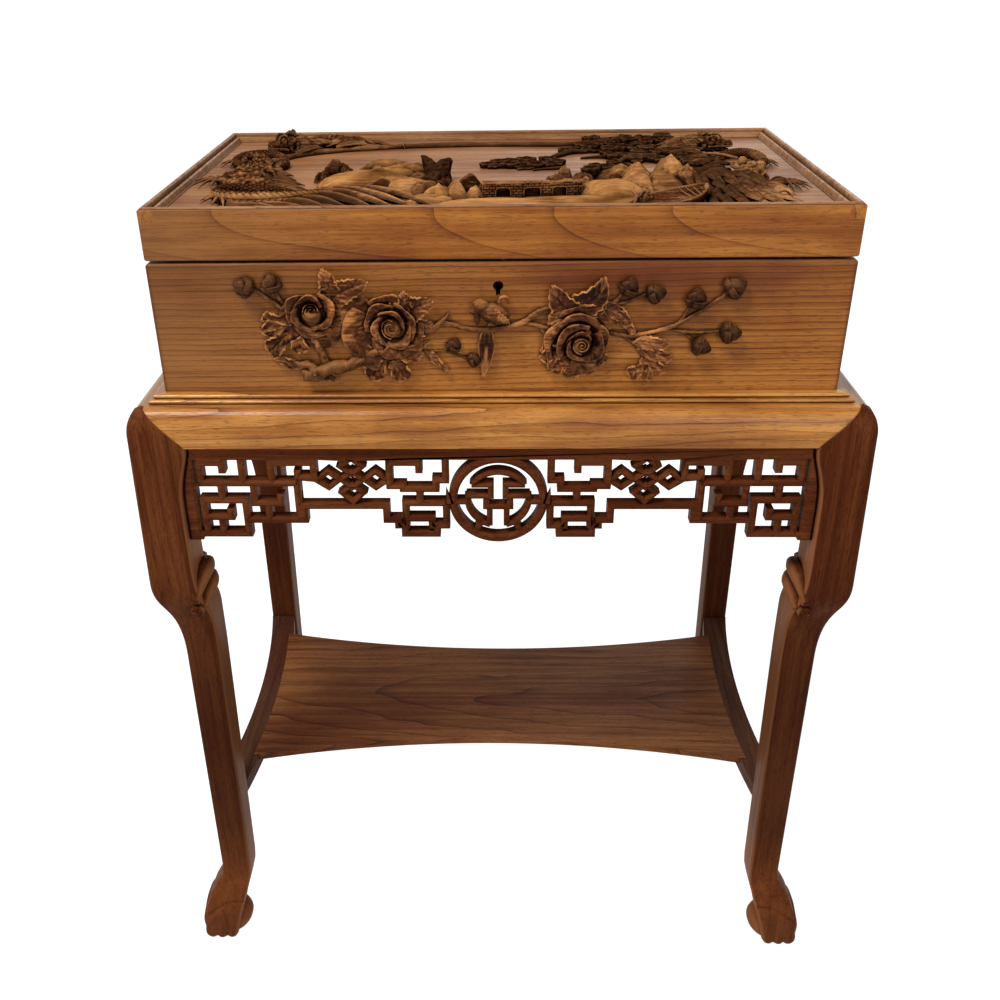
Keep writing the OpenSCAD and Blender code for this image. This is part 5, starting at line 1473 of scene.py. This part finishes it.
# middle, half widths, turn, height, steepness, folds, seed and tone of each stone
HILL_STONES = (
    (-122, -60, 46, 26, 6, 14, 0.6, 0.12, 1.2, 0.75), (-90, -80, 40, 24, -14, 13, 0.6, 0.3, 8.4, 0.6),
    (-140, -142, 54, 17, -6, 2.0, 0.3, 0.1, 4.7, -0.9), (-110, -50, 20, 12, 30, 17, 0.8, 0.2, 3.4, 0.7),
    (-140, -92, 30, 14, 16, 9, 0.6, 0.3, 5.5, 0.6), (-92, -22, 40, 10, -7, 13, 0.5, 0.22, 2.6, 0.7),
    (-122, -14, 13, 7, 12, 12, 0.5, 0.3, 4.1, 0.3), (-66, -40, 20, 12, -20, 9, 0.5, 0.4, 7.7, 0.3),
    (-153, -30, 13, 9, 20, 19, 0.45, 0.5, 3.9, -0.6), (-163, -44, 9, 9, 40, 12, 0.5, 0.5, 5.2, -0.7),
    (-143, -34, 9, 7, 0, 15, 0.5, 0.5, 9.4, -0.5), (-66, -96, 13, 11, 20, 14, 0.4, 0.35, 6.3, 0.2),
    (-52, -112, 17, 11, 14, 14, 0.7, 0.25, 9.1, 0.7), (-37, -108, 12, 13, -30, 16, 0.72, 0.25, 1.9, 0.6),
    (-27, -88, 18, 12, 34, 18, 0.75, 0.3, 2.2, -0.3), (-20, -110, 9, 9, 20, 12, 0.7, 0.2, 3.7, 0.5),
    (-12, -96, 7, 7, 10, 11, 0.4, 0.4, 4.6, -0.2), (-52, -76, 16, 10, -16, 11, 0.4, 0.5, 6.8, -0.5),
    (-58, -54, 16, 9, 8, 12, 0.45, 0.3, 8.0, -0.7), (-62, -122, 22, 11, 6, 7, 0.5, 0.4, 2.9, 0.7),
    (62, -40, 7, 7, 0, 13, 0.4, 0.5, 3.3, -0.2), (54, -48, 10, 6, -12, 8, 0.5, 0.5, 1.4, -0.4),
    (78, -52, 11, 6, 4, 10, 0.42, 0.3, 4.4, -0.3), (78, -88, 8, 9, 20, 14, 0.4, 0.4, 5.9, 0.1),
    (101, -103, 36, 27, -24, 16, 0.7, 0.15, 9.6, 0.9), (84, -96, 14, 12, 10, 10, 0.5, 0.2, 6.1, 0.9),
    (66, -134, 60, 22, 4, 4.2, 0.35, 0.12, 7.4, 1.0), (4, -136, 56, 19, 0, 3.0, 0.3, 0.14, 8.2, 1.0),
    (112, -138, 36, 20, 4, 5.5, 0.4, 0.2, 6.6, 0.9), (126, -72, 20, 30, 22, 22, 0.85, 0.2, 3.1, 0.5),
    (146, -80, 26, 20, -34, 19, 0.9, 0.25, 7.9, 0.3), (106, -70, 12, 22, -12, 15, 0.8, 0.25, 2.3, -0.2),
    (162, -32, 15, 26, 24, 22, 0.72, 0.25, 8.7, 0.6), (174, -52, 12, 15, -20, 17, 0.75, 0.3, 1.1, 0.2),
    (112, -46, 26, 13, -14, 16, 0.75, 0.2, 9.9, 0.2), (160, -70, 14, 8, 10, 13, 0.5, 0.5, 4.9, -0.4),
    (176, -84, 10, 9, 30, 11, 0.5, 0.5, 6.9, -0.5), (186, -110, 10, 9, 0, 11, 0.5, 0.4, 3.6, -0.4),
    (196, -128, 11, 10, 0, 12, 0.5, 0.4, 5.1, -0.2), (184, -140, 9, 9, 0, 9, 0.5, 0.4, 2.7, -0.3),
    (152, -46, 7, 7, 0, 12, 0.5, 0.5, 6.0, -0.5), (136, -52, 8, 6, 0, 11, 0.5, 0.5, 6.4, -0.5),
)
HILL_HOLLOWS = ((-106, -88, 10, 8, 7), (-51, -104, 6, 6, 7), (-34, -88, 5, 4, 5), (-152, -42, 6, 4, 7),
                (-85, -118, 8, 4, 4), (148, -74, 5, 8, 7), (164, -76, 5, 4, 6), (-60, -40, 4, 5, 6))
HORNS = (
    ((-60, -42, -1, 10), (-62, -40, 8, 8.5), (-66, -37, 15, 5.6), (-70, -35, 20, 2.6),
     (-72, -35, 21.5, 0.6)),
    ((-53, -46, -1, 10), (-52, -44, 8, 9), (-49, -42, 14, 7.2), (-46, -41, 19, 4.6),
     (-45, -41, 21.5, 1.4)),
    ((-60, -58, -1, 9), (-56, -55, 6, 8), (-50, -50, 11, 5), (-46, -46, 14, 2)))
LEDGE = ((-124, -15, 3, 4), (-117, -14, 7, 6.4), (-104, -17, 8.5, 7), (-88, -22, 8, 6.4),
         (-74, -28, 7, 6), (-62, -36, 4, 5))
horns = tinted(knifed([rod("horn", on_lid, rows, 24, 0.8) for rows in HORNS], 2.2, 0.075), -0.75)
horns += tinted(knifed([rod("ledge", on_lid, LEDGE, 24, 1.0)], 2.0, 0.06), 0.45)
hills = stones("hills", HILL_BOX, HILL_STONES, HILL_HOLLOWS)
carved("hills", [hills] + horns, 45, "relief", "lid", "mountains")

# %% [markdown]
# ### The dragons
# A dragon's head is an assembly too: skull, snout, jaw, brow, eye, horns, cheek curls and a mane.
# The left one stands high and round, with a ball eye. The right one is long and flat, like a
# crocodile's, so one function builds both from a length and a height.


# %% A dragon's head
def dragon_head(at, toward, lift, long, tall, eye, mark):
    """A head that looks along a heading. long and tall stretch it, and eye is its eyeball's size."""
    def local(x, y, z):
        x, y = turned(x * long, y, radians(toward))
        return on_lid(at[0] + x, at[1] + y, max(0.3, lift + z * tall))

    def tube(name, points, sides=12):
        return rod(name, local, points, sides, 0.9)

    parts = [ball(local, (-2, 0, 8), (11, 9.5, 9), 0.35, 2.2, 4, -20),
             tube("snout", [(2, 0, 8, 7.4), (10, 0, 7, 6.4), (17, 0, 6.4, 5.2), (22, 0, 6, 4.2),
                            (24.5, 0, 5, 2)], 20),
             tube("jaw", [(-4, 0, -1, 6), (6, 0, -2, 5), (14, 0, -2.4, 4), (20, 0, -1.6, 2.6),
                          (22, 0, -0.6, 1)], 16),
             ball(local, (22, 0, 9.4), (3, 3.2, 2.2), 0, 0, 3, -20),
             tube("crest", [(-6, 0, 15, 3.4), (-1, 0, 18, 2.8), (4, 0, 16, 2.2), (10, 0, 12.4, 1.6),
                            (16, 0, 11, 1)]),
             tube("peak", [(-7, 0, 15, 3.2), (-6, 0, 19, 2.2), (-4, 0, 22, 0.6)], 10)]
    for k in (-1, 1):
        parts += [ball(local, (8, 6.2 * k, 11.5), (eye, eye, eye), 0, 0, 3, -20),
                  tube("brow", [(8 + 5.2 * cos(radians(w)), 6.6 * k, 11.5 + 5.2 * sin(radians(w)), 1.5)
                                for w in range(-20, 221, 24)], 8),
                  tube("lip", [(4, 7.6 * k, 1.5, 1.6), (11, 6.6 * k, 3, 1.8), (18, 5.4 * k, 3.2, 1.6),
                               (23, 3 * k, 3.4, 1.8), (24.4, 0, 4, 1.6)], 10),
                  tube("cheek", [(-6, 9 * k, 9, 2.6), (-8, 9.5 * k, 3, 2.4), (-3, 9 * k, -0.5, 2.0),
                                 (1, 8.4 * k, 3, 1.6), (-2, 8.8 * k, 5.4, 1.0)], 10),
                  tube("tooth", [(16, 4.4 * k, 3, 1.1), (16.4, 4.6 * k, 0.6, 0.9),
                                 (16.6, 4.6 * k, -1, 0.2)], 8)]
        parts += [tube("mane", [(-8, (3 + 1.6 * i) * k, 12 - 2.6 * i, 2.6),
                                (-15 - i, (5 + 2.4 * i) * k, 13 - 3.2 * i, 2.9),
                                (-22, (6 + 3 * i) * k, 10 - 2.8 * i, 1.9),
                                (-27 + i, (9 + 3.2 * i) * k, 9 - 2 * i, 0.4)], 8) for i in range(5)]
    return tinted(knifed(parts, 1.0, 0.3), mark)

# %% [markdown]
# The left dragon has a coil under its head and a long tail with belly plates in front. Curls of
# mane lie between them, and long feathers sweep along the lid's front edge.

# %% Dragon at the left
dragon = coil(((-218, 50, 4, 3.6), (-229, 58, 5.5, 4.6), (-243, 62, 5.5, 5.0), (-256, 57, 5, 5.0),
               (-263, 43, 4.5, 4.6), (-262, 28, 4, 4.2), (-254, 18, 3.5, 3.4)),
              -0.35, scales(28, 11, 0.2))
dragon += coil(((-236, -88, 4, 4.5), (-246, -98, 4, 5.6), (-247, -113, 4.4, 6.3), (-236, -127, 5, 6.8),
                (-216, -134, 5, 6.8), (-196, -131, 5, 6.3), (-178, -123, 4.8, 5.4),
                (-162, -114, 4.4, 4.5), (-146, -107, 4, 3.6), (-130, -103, 3.4, 2.6),
                (-114, -101, 3, 1.4)), painted_light_and_shade, belly(46, 0.2), 56)
dragon += coil(((-250, -100, 6, 4), (-236, -106, 7.5, 5.4), (-220, -112, 8, 5.8),
                (-204, -112, 7.5, 5.2), (-190, -108, 6, 4), (-178, -106, 4, 2)),
               -0.5, scales(24, 11, 0.2))
dragon += dragon_head((-219, 92), 204, 4, 0.92, 0.98, 4.0, -0.4)
dragon.append(dome((-257, -49, 1.5), 6.6))
dragon += claws(((-260, 34), 192, 4, 42, 22, 2.1), ((-258, -49), 183, 6, 62, 32, 2.1),
                ((-106, 116), -4, 3, 24, 12, 1.8))
for x, y in ((-262, -117), (-260, -130), (-247, -143), (-234, -148), (-222, -147), (-209, -148)):
    dragon.append(strand([(-241 + (x + 236) * 0.15, -124, 3),
                          ((-240 + x) / 2, (-124 + y) / 2 + 1, 3.5), (x, y, 0)], 2.5, 0.8))
CURLS = (
    (((-258, 30, 3, 4), (-250, 38, 7, 5.4), (-240, 36, 8, 5), (-234, 28, 6, 3.6),
      (-238, 22, 4, 2)), dark_curl_painted_light),
    (((-250, 14, 2, 4.4), (-240, 20, 6, 5.6), (-228, 16, 7, 5), (-224, 7, 5, 3.4),
      (-230, 2, 3, 1.6)), dark_curl_painted_light),
    (((-254, -8, 3, 4), (-246, -16, 7, 6), (-234, -16, 9, 6.4), (-224, -24, 8, 5),
      (-224, -34, 5, 3)), dark_curl_painted_light),
    (((-240, -30, 5, 4.4), (-230, -36, 8, 6), (-218, -34, 8, 5.4), (-209, -40, 5, 3.6),
      (-212, -48, 3, 1.6)), dark_curl_painted_light),
    (((-256, -36, 3, 4.4), (-246, -46, 6, 6), (-232, -52, 7, 6.2), (-218, -52, 7, 5),
      (-208, -58, 4, 3)), dark_curl_painted_light),
    (((-252, -66, 2, 5), (-238, -70, 5, 6.4), (-222, -68, 6, 6), (-208, -70, 5, 4.6),
      (-198, -76, 3, 2.4)), dark_curl_painted_light),
    (((-250, -24, 2, 4), (-256, -34, 4, 5), (-252, -44, 4, 5), (-244, -40, 3, 3)), -0.5),
    (((-226, 44, 1, 4), (-216, 32, 3, 5), (-212, 18, 4, 5), (-216, 4, 3, 4), (-212, -8, 2, 3)), -0.5),
    (((-206, 120, 2, 6), (-194, 114, 6, 8), (-178, 118, 8, 8), (-160, 116, 7, 7),
      (-142, 118, 5, 5.4)), -0.6))
for rows, mark in CURLS:
    curl = rod("curl", on_lid, rows, 28, 0.9, scales(12, 7, 0.22))
    dragon += tinted(knifed([curl], 2.2, 0.1), mark)
dragon += feathers((
    (((-206, 104, 5), (-196, 112, 9), (-186, 120, 11), (-176, 132, 9)), 4.4),
    (((-208, 96, 4), (-196, 102, 8), (-184, 108, 9), (-170, 110, 5)), 4.0),
    (((-196, 118, 6), (-184, 124, 9), (-172, 130, 9), (-160, 138, 6)), 3.8),
    (((-184, 108, 4), (-172, 112, 8), (-160, 120, 9), (-150, 130, 6)), 3.6),
    (((-172, 106, 3), (-160, 108, 6), (-146, 112, 6), (-134, 110, 2)), 3.2),
    (((-168, 122, 5), (-154, 126, 8), (-142, 124, 7), (-130, 118, 3)), 3.2),
    (((-210, 74, 3), (-200, 82, 6), (-192, 92, 6), (-184, 100, 3)), 3.2),
    (((-150, 128, 4), (-138, 130, 5), (-126, 126, 4), (-114, 120, 2)), 2.6),
    (((-222, -12, 3), (-212, -20, 5), (-203, -24, 3), (-196, -20, 0)), 2.6),
    (((-220, -32, 3), (-208, -38, 5), (-198, -44, 3), (-190, -40, 0)), 2.6),
    (((-214, -52, 3), (-202, -54, 5), (-192, -62, 4), (-178, -62, 0)), 2.8),
    (((-216, -66, 3), (-202, -68, 5), (-188, -76, 4), (-172, -82, 0)), 2.8),
    (((-210, -80, 3), (-196, -84, 5), (-184, -92, 4), (-172, -96, 0)), 2.6),
    (((-236, 6, 3), (-226, -2, 5), (-222, -12, 4), (-226, -22, 2)), 3.0),
    (((-246, 12, 3), (-240, 0, 5), (-244, -10, 4), (-252, -16, 1)), 2.6)), -0.4, 1.15)
dragon += feathers((
    (((-232, -141, 2), (-212, -149, 2.5), (-196, -152, 2), (-176, -155, 0)), 2.6),
    (((-204, -143, 2), (-190, -149, 3), (-176, -150, 2.5), (-158, -150, 0)), 2.6),
    (((-222, -146, 1), (-206, -153, 1.5), (-192, -157, 1), (-174, -160, 0)), 2.0),
    (((-184, -130, 1), (-170, -136, 2), (-155, -147, 2), (-139, -157, 0)), 3.2),
    (((-178, -120, 1.5), (-158, -129, 2.5), (-142, -141, 2.5), (-122, -156, 0)), 3.2),
    (((-172, -106, 2), (-146, -119, 3), (-124, -136, 2.5), (-102, -154, 0)), 3.4),
    (((-164, -97, 2.5), (-136, -111, 3.5), (-110, -132, 3), (-84, -154, 0)), 3.4),
    (((-158, -90, 2.5), (-130, -103, 4), (-99, -124, 3.5), (-69, -150, 0)), 3.4),
    (((-150, -86, 2.5), (-117, -98, 4.5), (-84, -118, 4), (-54, -146, 0)), 3.0),
    (((-160, -146, 1), (-146, -152, 1.5), (-132, -156, 1), (-112, -160, 0)), 2.2)), dark_feather_painted_light, 1.45)
carved("dragon_left_carved", dragon, 60, "relief", "lid", "dragon_left")

# %% [markdown]
# The right dragon looks outward from the other end. Round lumps follow its side, and the thick
# mane comes in a cell of its own.

# %% Dragon at the right
dragon = coil(((216, 36, 3.5, 3.4), (230, 43, 5, 4.4), (243, 47, 5.5, 4.8), (253, 40, 5.5, 4.8),
               (258, 24, 5, 4.8), (257, 6, 4.8, 4.6), (250, -8, 4, 3.8)), -0.35, scales(28, 11, 0.2))
dragon += dragon_head((213, 74), -18, 7, 1.06, 0.72, 2.3, -0.3)
dragon.append(rod("whisker", on_lid, [(205, 33, 8, 1.3), (217, 12, 11, 1.4), (229, -8, 11.5, 1.1)],
                  10, 1.2))
dragon += tinted([ball(on_lid, (233, -12, 9), (4.7, 4.7, 4.7), 0, 0, 4)]
                 + [ball(on_lid, at, size, 0.5, seed, 4, -0.6, turn) for at, size, seed, turn in (
                     ((238, -34, 6), (11, 8, 8), 1.3, 20), ((228, -48, 6), (10, 8, 8), 2.3, 50),
                     ((219, -66, 5), (11, 7, 8), 3.3, 10), ((238, -56, 5), (9, 8, 8), 4.3, 0),
                     ((244, -20, 4), (9, 6, 7), 5.3, 0))], 0.5)
dragon.append(dome((250, -83, 1.5), 8.6, 10, 24))
dragon += claws(((254, 12), 2, 5, 40, 22, 2.0), ((253, -78), -2, 8, 58, 30, 1.8))
dragon.append(rod("strap", on_lid, [(222, -22, 10, 1.5), (217, -44, 11, 1.5), (223, -60, 11, 1.5),
                                    (219, -84, 11, 1.5), (213, -104, 9, 1.3)], 10, 1.2))


def lumpy(s, t):
    return 0.16 * noise.noise(Vector((cos(6.28 * s) * 1.4, sin(6.28 * s) * 1.4, t * 4)))


dragon.append(rod("nose", on_lid, [(232, -100, 5, 4.2), (237, -114, 5.5, 5.4), (241, -127, 5, 6.0),
                                   (243, -135, 4.6, 5.4), (244, -140, 4, 3.6)], 28, 0.8, lumpy))
nostril = [(243 + 4.6 * cos(radians(w)), -137 - 2.6 * cos(radians(w)), 5.6 + 4.8 * sin(radians(w)), 1.5)
           for w in range(0, 361, 24)]
dragon.append(rod("nostril", on_lid, nostril, 10, 1.0))

# %% [markdown]
# The right dragon's mane is one big pillow of wood under four rows of locks. Each lock starts a
# little beside the one before, and all of them arch over the pillow and turn down at their tips.

# %% The big mane
MANE_ROWS = ((-66, 12.5), (-84, 10.5), (-102, 8.4), (-119, 5.6))
LOCKS = 11
LOCK_ARCH = ((0, 0.8), (10, 0.98), (20, 1.0), (30, 0.82), (40, 0.45))
# the pillow under the locks is painted near black, as the shade in the gaps between them
dragon += tinted([ball(on_lid, (206, -112, 0), (34, 42, 7), 0.1, 1, 5, -0.5, 12)], -0.9)
for number, (line, high) in enumerate(MANE_ROWS):
    for i in range(LOCKS):
        k = (i + 0.5 * (number % 2)) / (LOCKS - 0.5)
        x, y = lerp(176, 224, k) + 3 * number, line + lerp(-14, 0, k) + 3 * sin(5 * i + number)
        turn = radians(lerp(-122, -74, k) + 9 * sin(3 * i + 2 * number))
        arch = high * (0.55 + 0.45 * sin(pi * (0.12 + 0.76 * k)))
        rows = [(x + d * cos(turn + 0.012 * d), y + d * sin(turn + 0.012 * d), max(0.5, arch * w))
                for d, w in LOCK_ARCH]
        dragon += tinted(knifed([feather(rows, 3.3, 0.4)], 0.5, 0.2), dark_lock_painted_light)
dragon += feathers((
    (((212, -66, 7), (200, -74, 9), (188, -76, 7), (174, -84, 2)), 3.4),
    (((214, -54, 7), (202, -60, 9), (188, -62, 7), (174, -70, 2)), 3.2),
    (((216, -38, 6), (206, -46, 8), (194, -46, 6), (182, -52, 2)), 3.0),
    (((206, -84, 7), (192, -88, 8), (178, -92, 6), (164, -102, 1)), 3.4),
    (((214, -20, 5), (204, -28, 7), (192, -28, 5), (182, -36, 1)), 2.8),
    (((202, 72, 6), (190, 80, 9), (178, 84, 9), (164, 92, 5)), 4.0),
    (((200, 62, 5), (188, 66, 8), (174, 72, 8), (160, 74, 4)), 3.6),
    (((204, 86, 7), (194, 94, 9), (182, 100, 8), (170, 108, 4)), 3.6),
    (((206, 46, 4), (194, 50, 7), (182, 52, 6), (168, 58, 3)), 3.4),
    (((214, 30, 3), (202, 26, 6), (190, 28, 5), (178, 24, 2)), 3.0),
    (((212, 12, 3), (202, 4, 6), (190, 6, 5), (180, 0, 2)), 3.0),
    (((224, 4, 3), (212, -6, 6), (202, -10, 5), (190, -14, 1)), 2.8),
    (((222, 24, 4), (214, 10, 7), (210, -4, 6), (204, -16, 2)), 2.8)), -0.6)
carved("dragon_right_carved", dragon, 60, "relief", "lid", "dragon_right")

# %% [markdown]
# ### The cord, the bridge and the pines
# A carved bead runs round the lake like a cord. It is one rod through points of the oval, with
# uneven cuts, because a perfect tube would look machined.

# %% The cord round the lake
LAKE = ((-231, -14), (-236, 2), (-235, 22), (-227, 46), (-209, 72), (-184, 91), (-151, 104),
        (-116, 114), (-70, 121), (-20, 124), (33, 122), (66, 121), (88, 126), (104, 134))
CORD_OUT, CORD_RADIUS = 1.6, 3.0
cord = rod("cord", on_lid, [p + (CORD_OUT, CORD_RADIUS) for p in LAKE], 14, 2.0, None, 1.1)
carved("lake_cord", tinted(knifed([cord], 0.8, 0.06), -0.3), 50, "relief", "lid", "lid_cord")

# %% [markdown]
# The bridge is a low wall of small stones with three arches. A carver only cuts the joints, so the
# wall is one bent sheet, and its rule knows where joints and arches lie. A second sheet closes the
# arches from behind.

# %% Bridge
WALL_LEFT, WALL_RIGHT, WALL_FRONT, WALL_HIGH, FACE = -14, 74, -112, 13.5, 0.85
COURSE, STONE, JOINT = 2.3, 5.2, 0.6
ARCHES = ((4.5, 5.8), (30, 6.8), (54, 5.8))


def stone_face(x, z, high):
    """How far the wall's face stands out: stones, dark arches with a raised rim, and a cap."""
    if z > high - 2:
        return 1.3 + 0.6 * noise.noise(Vector((x * 0.25, 0, 0)))
    out = 0
    near = min(z % COURSE, (x + (int(z / COURSE) % 2) * STONE / 2) % STONE)
    if near > JOINT and z > 0.5:
        out = 0.7
    for middle, wide in ARCHES:
        rounded = (abs(x - middle) / wide) ** 5 + (max(0, z - 3) / 5.2) ** 4
        if rounded < 1:
            out = -3.8
        elif rounded < 2.3:
            out = 1.2
    return out


def wall_place(s, t):
    x = lerp(WALL_LEFT, WALL_RIGHT, s)
    line = WALL_FRONT + 0.13 * max(0, x - 26)
    high = (WALL_HIGH + 1.4 * noise.noise(Vector((x * 0.09, 4, 0)))
            + 0.8 * noise.noise(Vector((x * 0.4, 9, 0))))
    if t > FACE:
        return on_lid(x, line + (t - FACE) / 0.15 * 4.5, high)
    z = t / FACE * high
    return on_lid(x, line - stone_face(x, z, high), max(-0.5, z))


def wall_core(s, t):
    return on_lid(lerp(-15, WALL_RIGHT, s), -104.5 + 6 * s * s, lerp(-0.5, 10.5, t))


bridge = [sheet("wall", 150, 36, wall_place, 1.2, 0), sheet("wall_core", 8, 4, wall_core, 3, 0)]
carved("bridge_wall", bridge, 30, "relief", "lid", "bridge")

# %% [markdown]
# A pine is a heap of flat needle pads, each with a ragged rim and grooved sides. A pad is modelled
# as one tube that closes on top, and heaped by a short list of places for each bough.


# %% Pines
SIDES_END = 0.6


def needle_pad(at, radius, low, high, seed):
    """A flat pad of needles. Its sides take the first part of t, and its top the rest."""
    def place(s, t):
        angle = 2 * pi * (s % 1)
        ragged = noise.noise(Vector((cos(angle) * 1.5, sin(angle) * 1.5, seed * 3.3)))
        lobe = 1 + 0.5 * ragged - 0.16 * abs(sin(3.5 * angle + seed))
        if t < SIDES_END:
            groove = 1 - 0.08 * (int(s * 30) % 2)
            r = radius * lobe * groove * (0.82 + 0.18 * t / SIDES_END)
            up = lerp(low, high, t / SIDES_END)
        else:
            k = (t - SIDES_END) / 0.4
            r = radius * lobe * (1 - k)
            up = high + 0.9 * sin(pi * k / 2) + 0.5 * ragged * (1 - k)
        r = max(r, 0.02)
        back = r * sin(angle) * 0.6
        return on_lid(at[0] + r * cos(angle), at[1] + back, up + 0.16 * back)

    pad = bent_grid("pad", 30, 8, place)
    in_edit(pad, close_tube)
    return pad


# each bough: its first and last place, its width, the number of pads, its lowest height and its rise
BOUGHS = (
    ((-8, 12), (4, 15), 6, 3, 1, 1.5), ((-2, 24), (24, 30), 8, 4, 2, 2),
    ((12, 10), (52, 12), 12, 7, 1, 2.5), ((22, 26), (58, 26), 10, 6, 2, 2),
    ((48, 42), (56, 24), 6, 2, 2, 1), ((72, 84), (104, 88), 12, 6, 1, 3),
    ((90, 108), (130, 108), 16, 8, 2, 4), ((98, 128), (150, 128), 12, 8, 3, 4),
    ((108, 84), (158, 84), 18, 11, 2, 4), ((138, 104), (186, 104), 20, 11, 3, 5),
    ((152, 124), (190, 124), 14, 7, 4, 4), ((110, 56), (150, 58), 12, 7, 1, 3),
    ((148, 66), (192, 68), 14, 9, 2, 4), ((134, 32), (158, 34), 10, 5, 1, 3),
    ((178, 44), (196, 40), 12, 5, 2, 3), ((182, 12), (200, 8), 14, 6, 2, 4),
    ((184, -20), (206, -24), 14, 7, 2, 4), ((182, -48), (200, -50), 10, 4, 3, 3),
    ((96, -30), (124, -28), 8, 5, 6, 6), ((84, -44), (100, -40), 6, 3, 8, 4))
BRANCHES = (
    ((34, -4, 1), (44, 0, 1.2), (58, 2, 1.6), (66, 8, 1)),
    ((56, 62, 1.2), (66, 70, 2.2), (78, 78, 2.6), (92, 80, 2)),
    ((84, 52, 1), (100, 54, 1.6), (116, 52, 2), (130, 56, 2)),
    ((48, 44, 1), (56, 54, 2), (66, 66, 2), (74, 76, 2)),
    ((118, 20, 2), (126, 34, 3), (140, 46, 3), (160, 56, 2.4)))
pines = []
for first, last, wide, count, base, rise in BOUGHS:
    for i in range(count):
        number = len(pines) + 1
        k = i / max(1, count - 1)
        drift = sin(number * 2.4) * wide * 0.5
        at = (lerp(first[0], last[0], k) + 2 * sin(number * 5.1), lerp(first[1], last[1], k) + drift)
        up = base + rise * (0.5 + 0.5 * sin(number * 1.7)) + 0.09 * drift
        pines.append(needle_pad(at, 8.6 + 2.4 * sin(number * 3.3), max(-0.5, up - 4), up + 1.8,
                                number * 0.8))
pines += [rod("bough", on_lid, [(x, y, r, r) for x, y, r in rows], 10, 2.0) for rows in BRANCHES]
carved("pine_boughs", tinted(pines, -1.0), 45, "relief", "lid", "pines")

# %% [markdown]
# ### The boat
# A boat's shape is in its two rims. The deck is a sheet that hangs between them, the hull is a sheet
# from the front rim to the ground, and rods make the rims, thwarts, post, knot and mooring.

# %% Boat
FRONT_RIM = ((106, -158, 2.2), (118, -161, 3), (134, -161.5, 4), (150, -160, 5.5), (164, -155, 8),
             (172, -149, 11), (177, -142, 14))
BACK_RIM = ((106, -157, 2.6), (114, -150, 5), (124, -144, 8), (138, -138, 10), (154, -134, 12),
            (168, -133, 14), (177, -136, 15))
HULL_STEPS = 60
RIMS = [along_curve(rim, HULL_STEPS) for rim in (FRONT_RIM, BACK_RIM)]


def deck(s, t):
    """The deck: from bow to stern along t, and from the front rim to the back rim along s."""
    spots = [rim[round(t * HULL_STEPS)] for rim in RIMS]
    x, y, z = (lerp(a, b, s) for a, b in zip(*spots))
    weave = 0.45 * (sin(2.2 * x) * sin(9 * pi * s) if x > 150 else 0.4 * sin(1.3 * x))
    return on_lid(x, y, z - 2.4 * sin(pi * s) * min(1, 4 * (1 - t)) + weave)


def hull(s, t):
    """The hull's front, from its rim down to the ground."""
    x, y, z = RIMS[0][round(t * HULL_STEPS)]
    return on_lid(x + 1.5 * s * (1 - 2 * t), y - 0.4 * sin(pi * s) + 3 * s * s, lerp(z, -0.6, s))


boat = [sheet("deck", 20, HULL_STEPS, deck, 1.6, 0), sheet("hull", 8, HULL_STEPS, hull, 1.4, 0)]
boat += [rod("rim", on_lid, [(x, y, z + 0.4, 1.0) for x, y, z in rim], 10, 1.0)
         for rim in (FRONT_RIM, BACK_RIM)]
bow, stern = FRONT_RIM[0][0], FRONT_RIM[-1][0]
for x in (152, 157, 162, 167, 172):
    k = (x - bow) / (stern - bow)
    boat.append(rod("thwart", on_lid, [tuple(rim[round(k * HULL_STEPS)]) + (0.8,) for rim in RIMS],
                    8, 1.2))
boat.append(rod("bow_post", on_lid, [(114, -155, 4, 1.6), (115, -153, 10, 1.6), (112, -152, 15, 1.3),
                                     (113, -151, 18, 0.7)], 10, 1.0))
for k, thick in ((0, 1.9), (1, 1.6)):
    loop = [(122 + 3 * k + 3.2 * cos(radians(w)), -150 + k, 9 + 5 * sin(radians(w)), thick)
            for w in range(40, 361, 32)]
    boat.append(rod("knot", on_lid, loop, 10, 1.0))
boat.append(rod("mooring", on_lid, [(122, -151, 4, 2.2), (123, -150, 9, 2.4), (125, -149, 14, 1.6),
                                    (124, -149, 17, 0.7)], 12, 1.0))
carved("boat_carved", boat, 40, "relief", "lid", "boat")
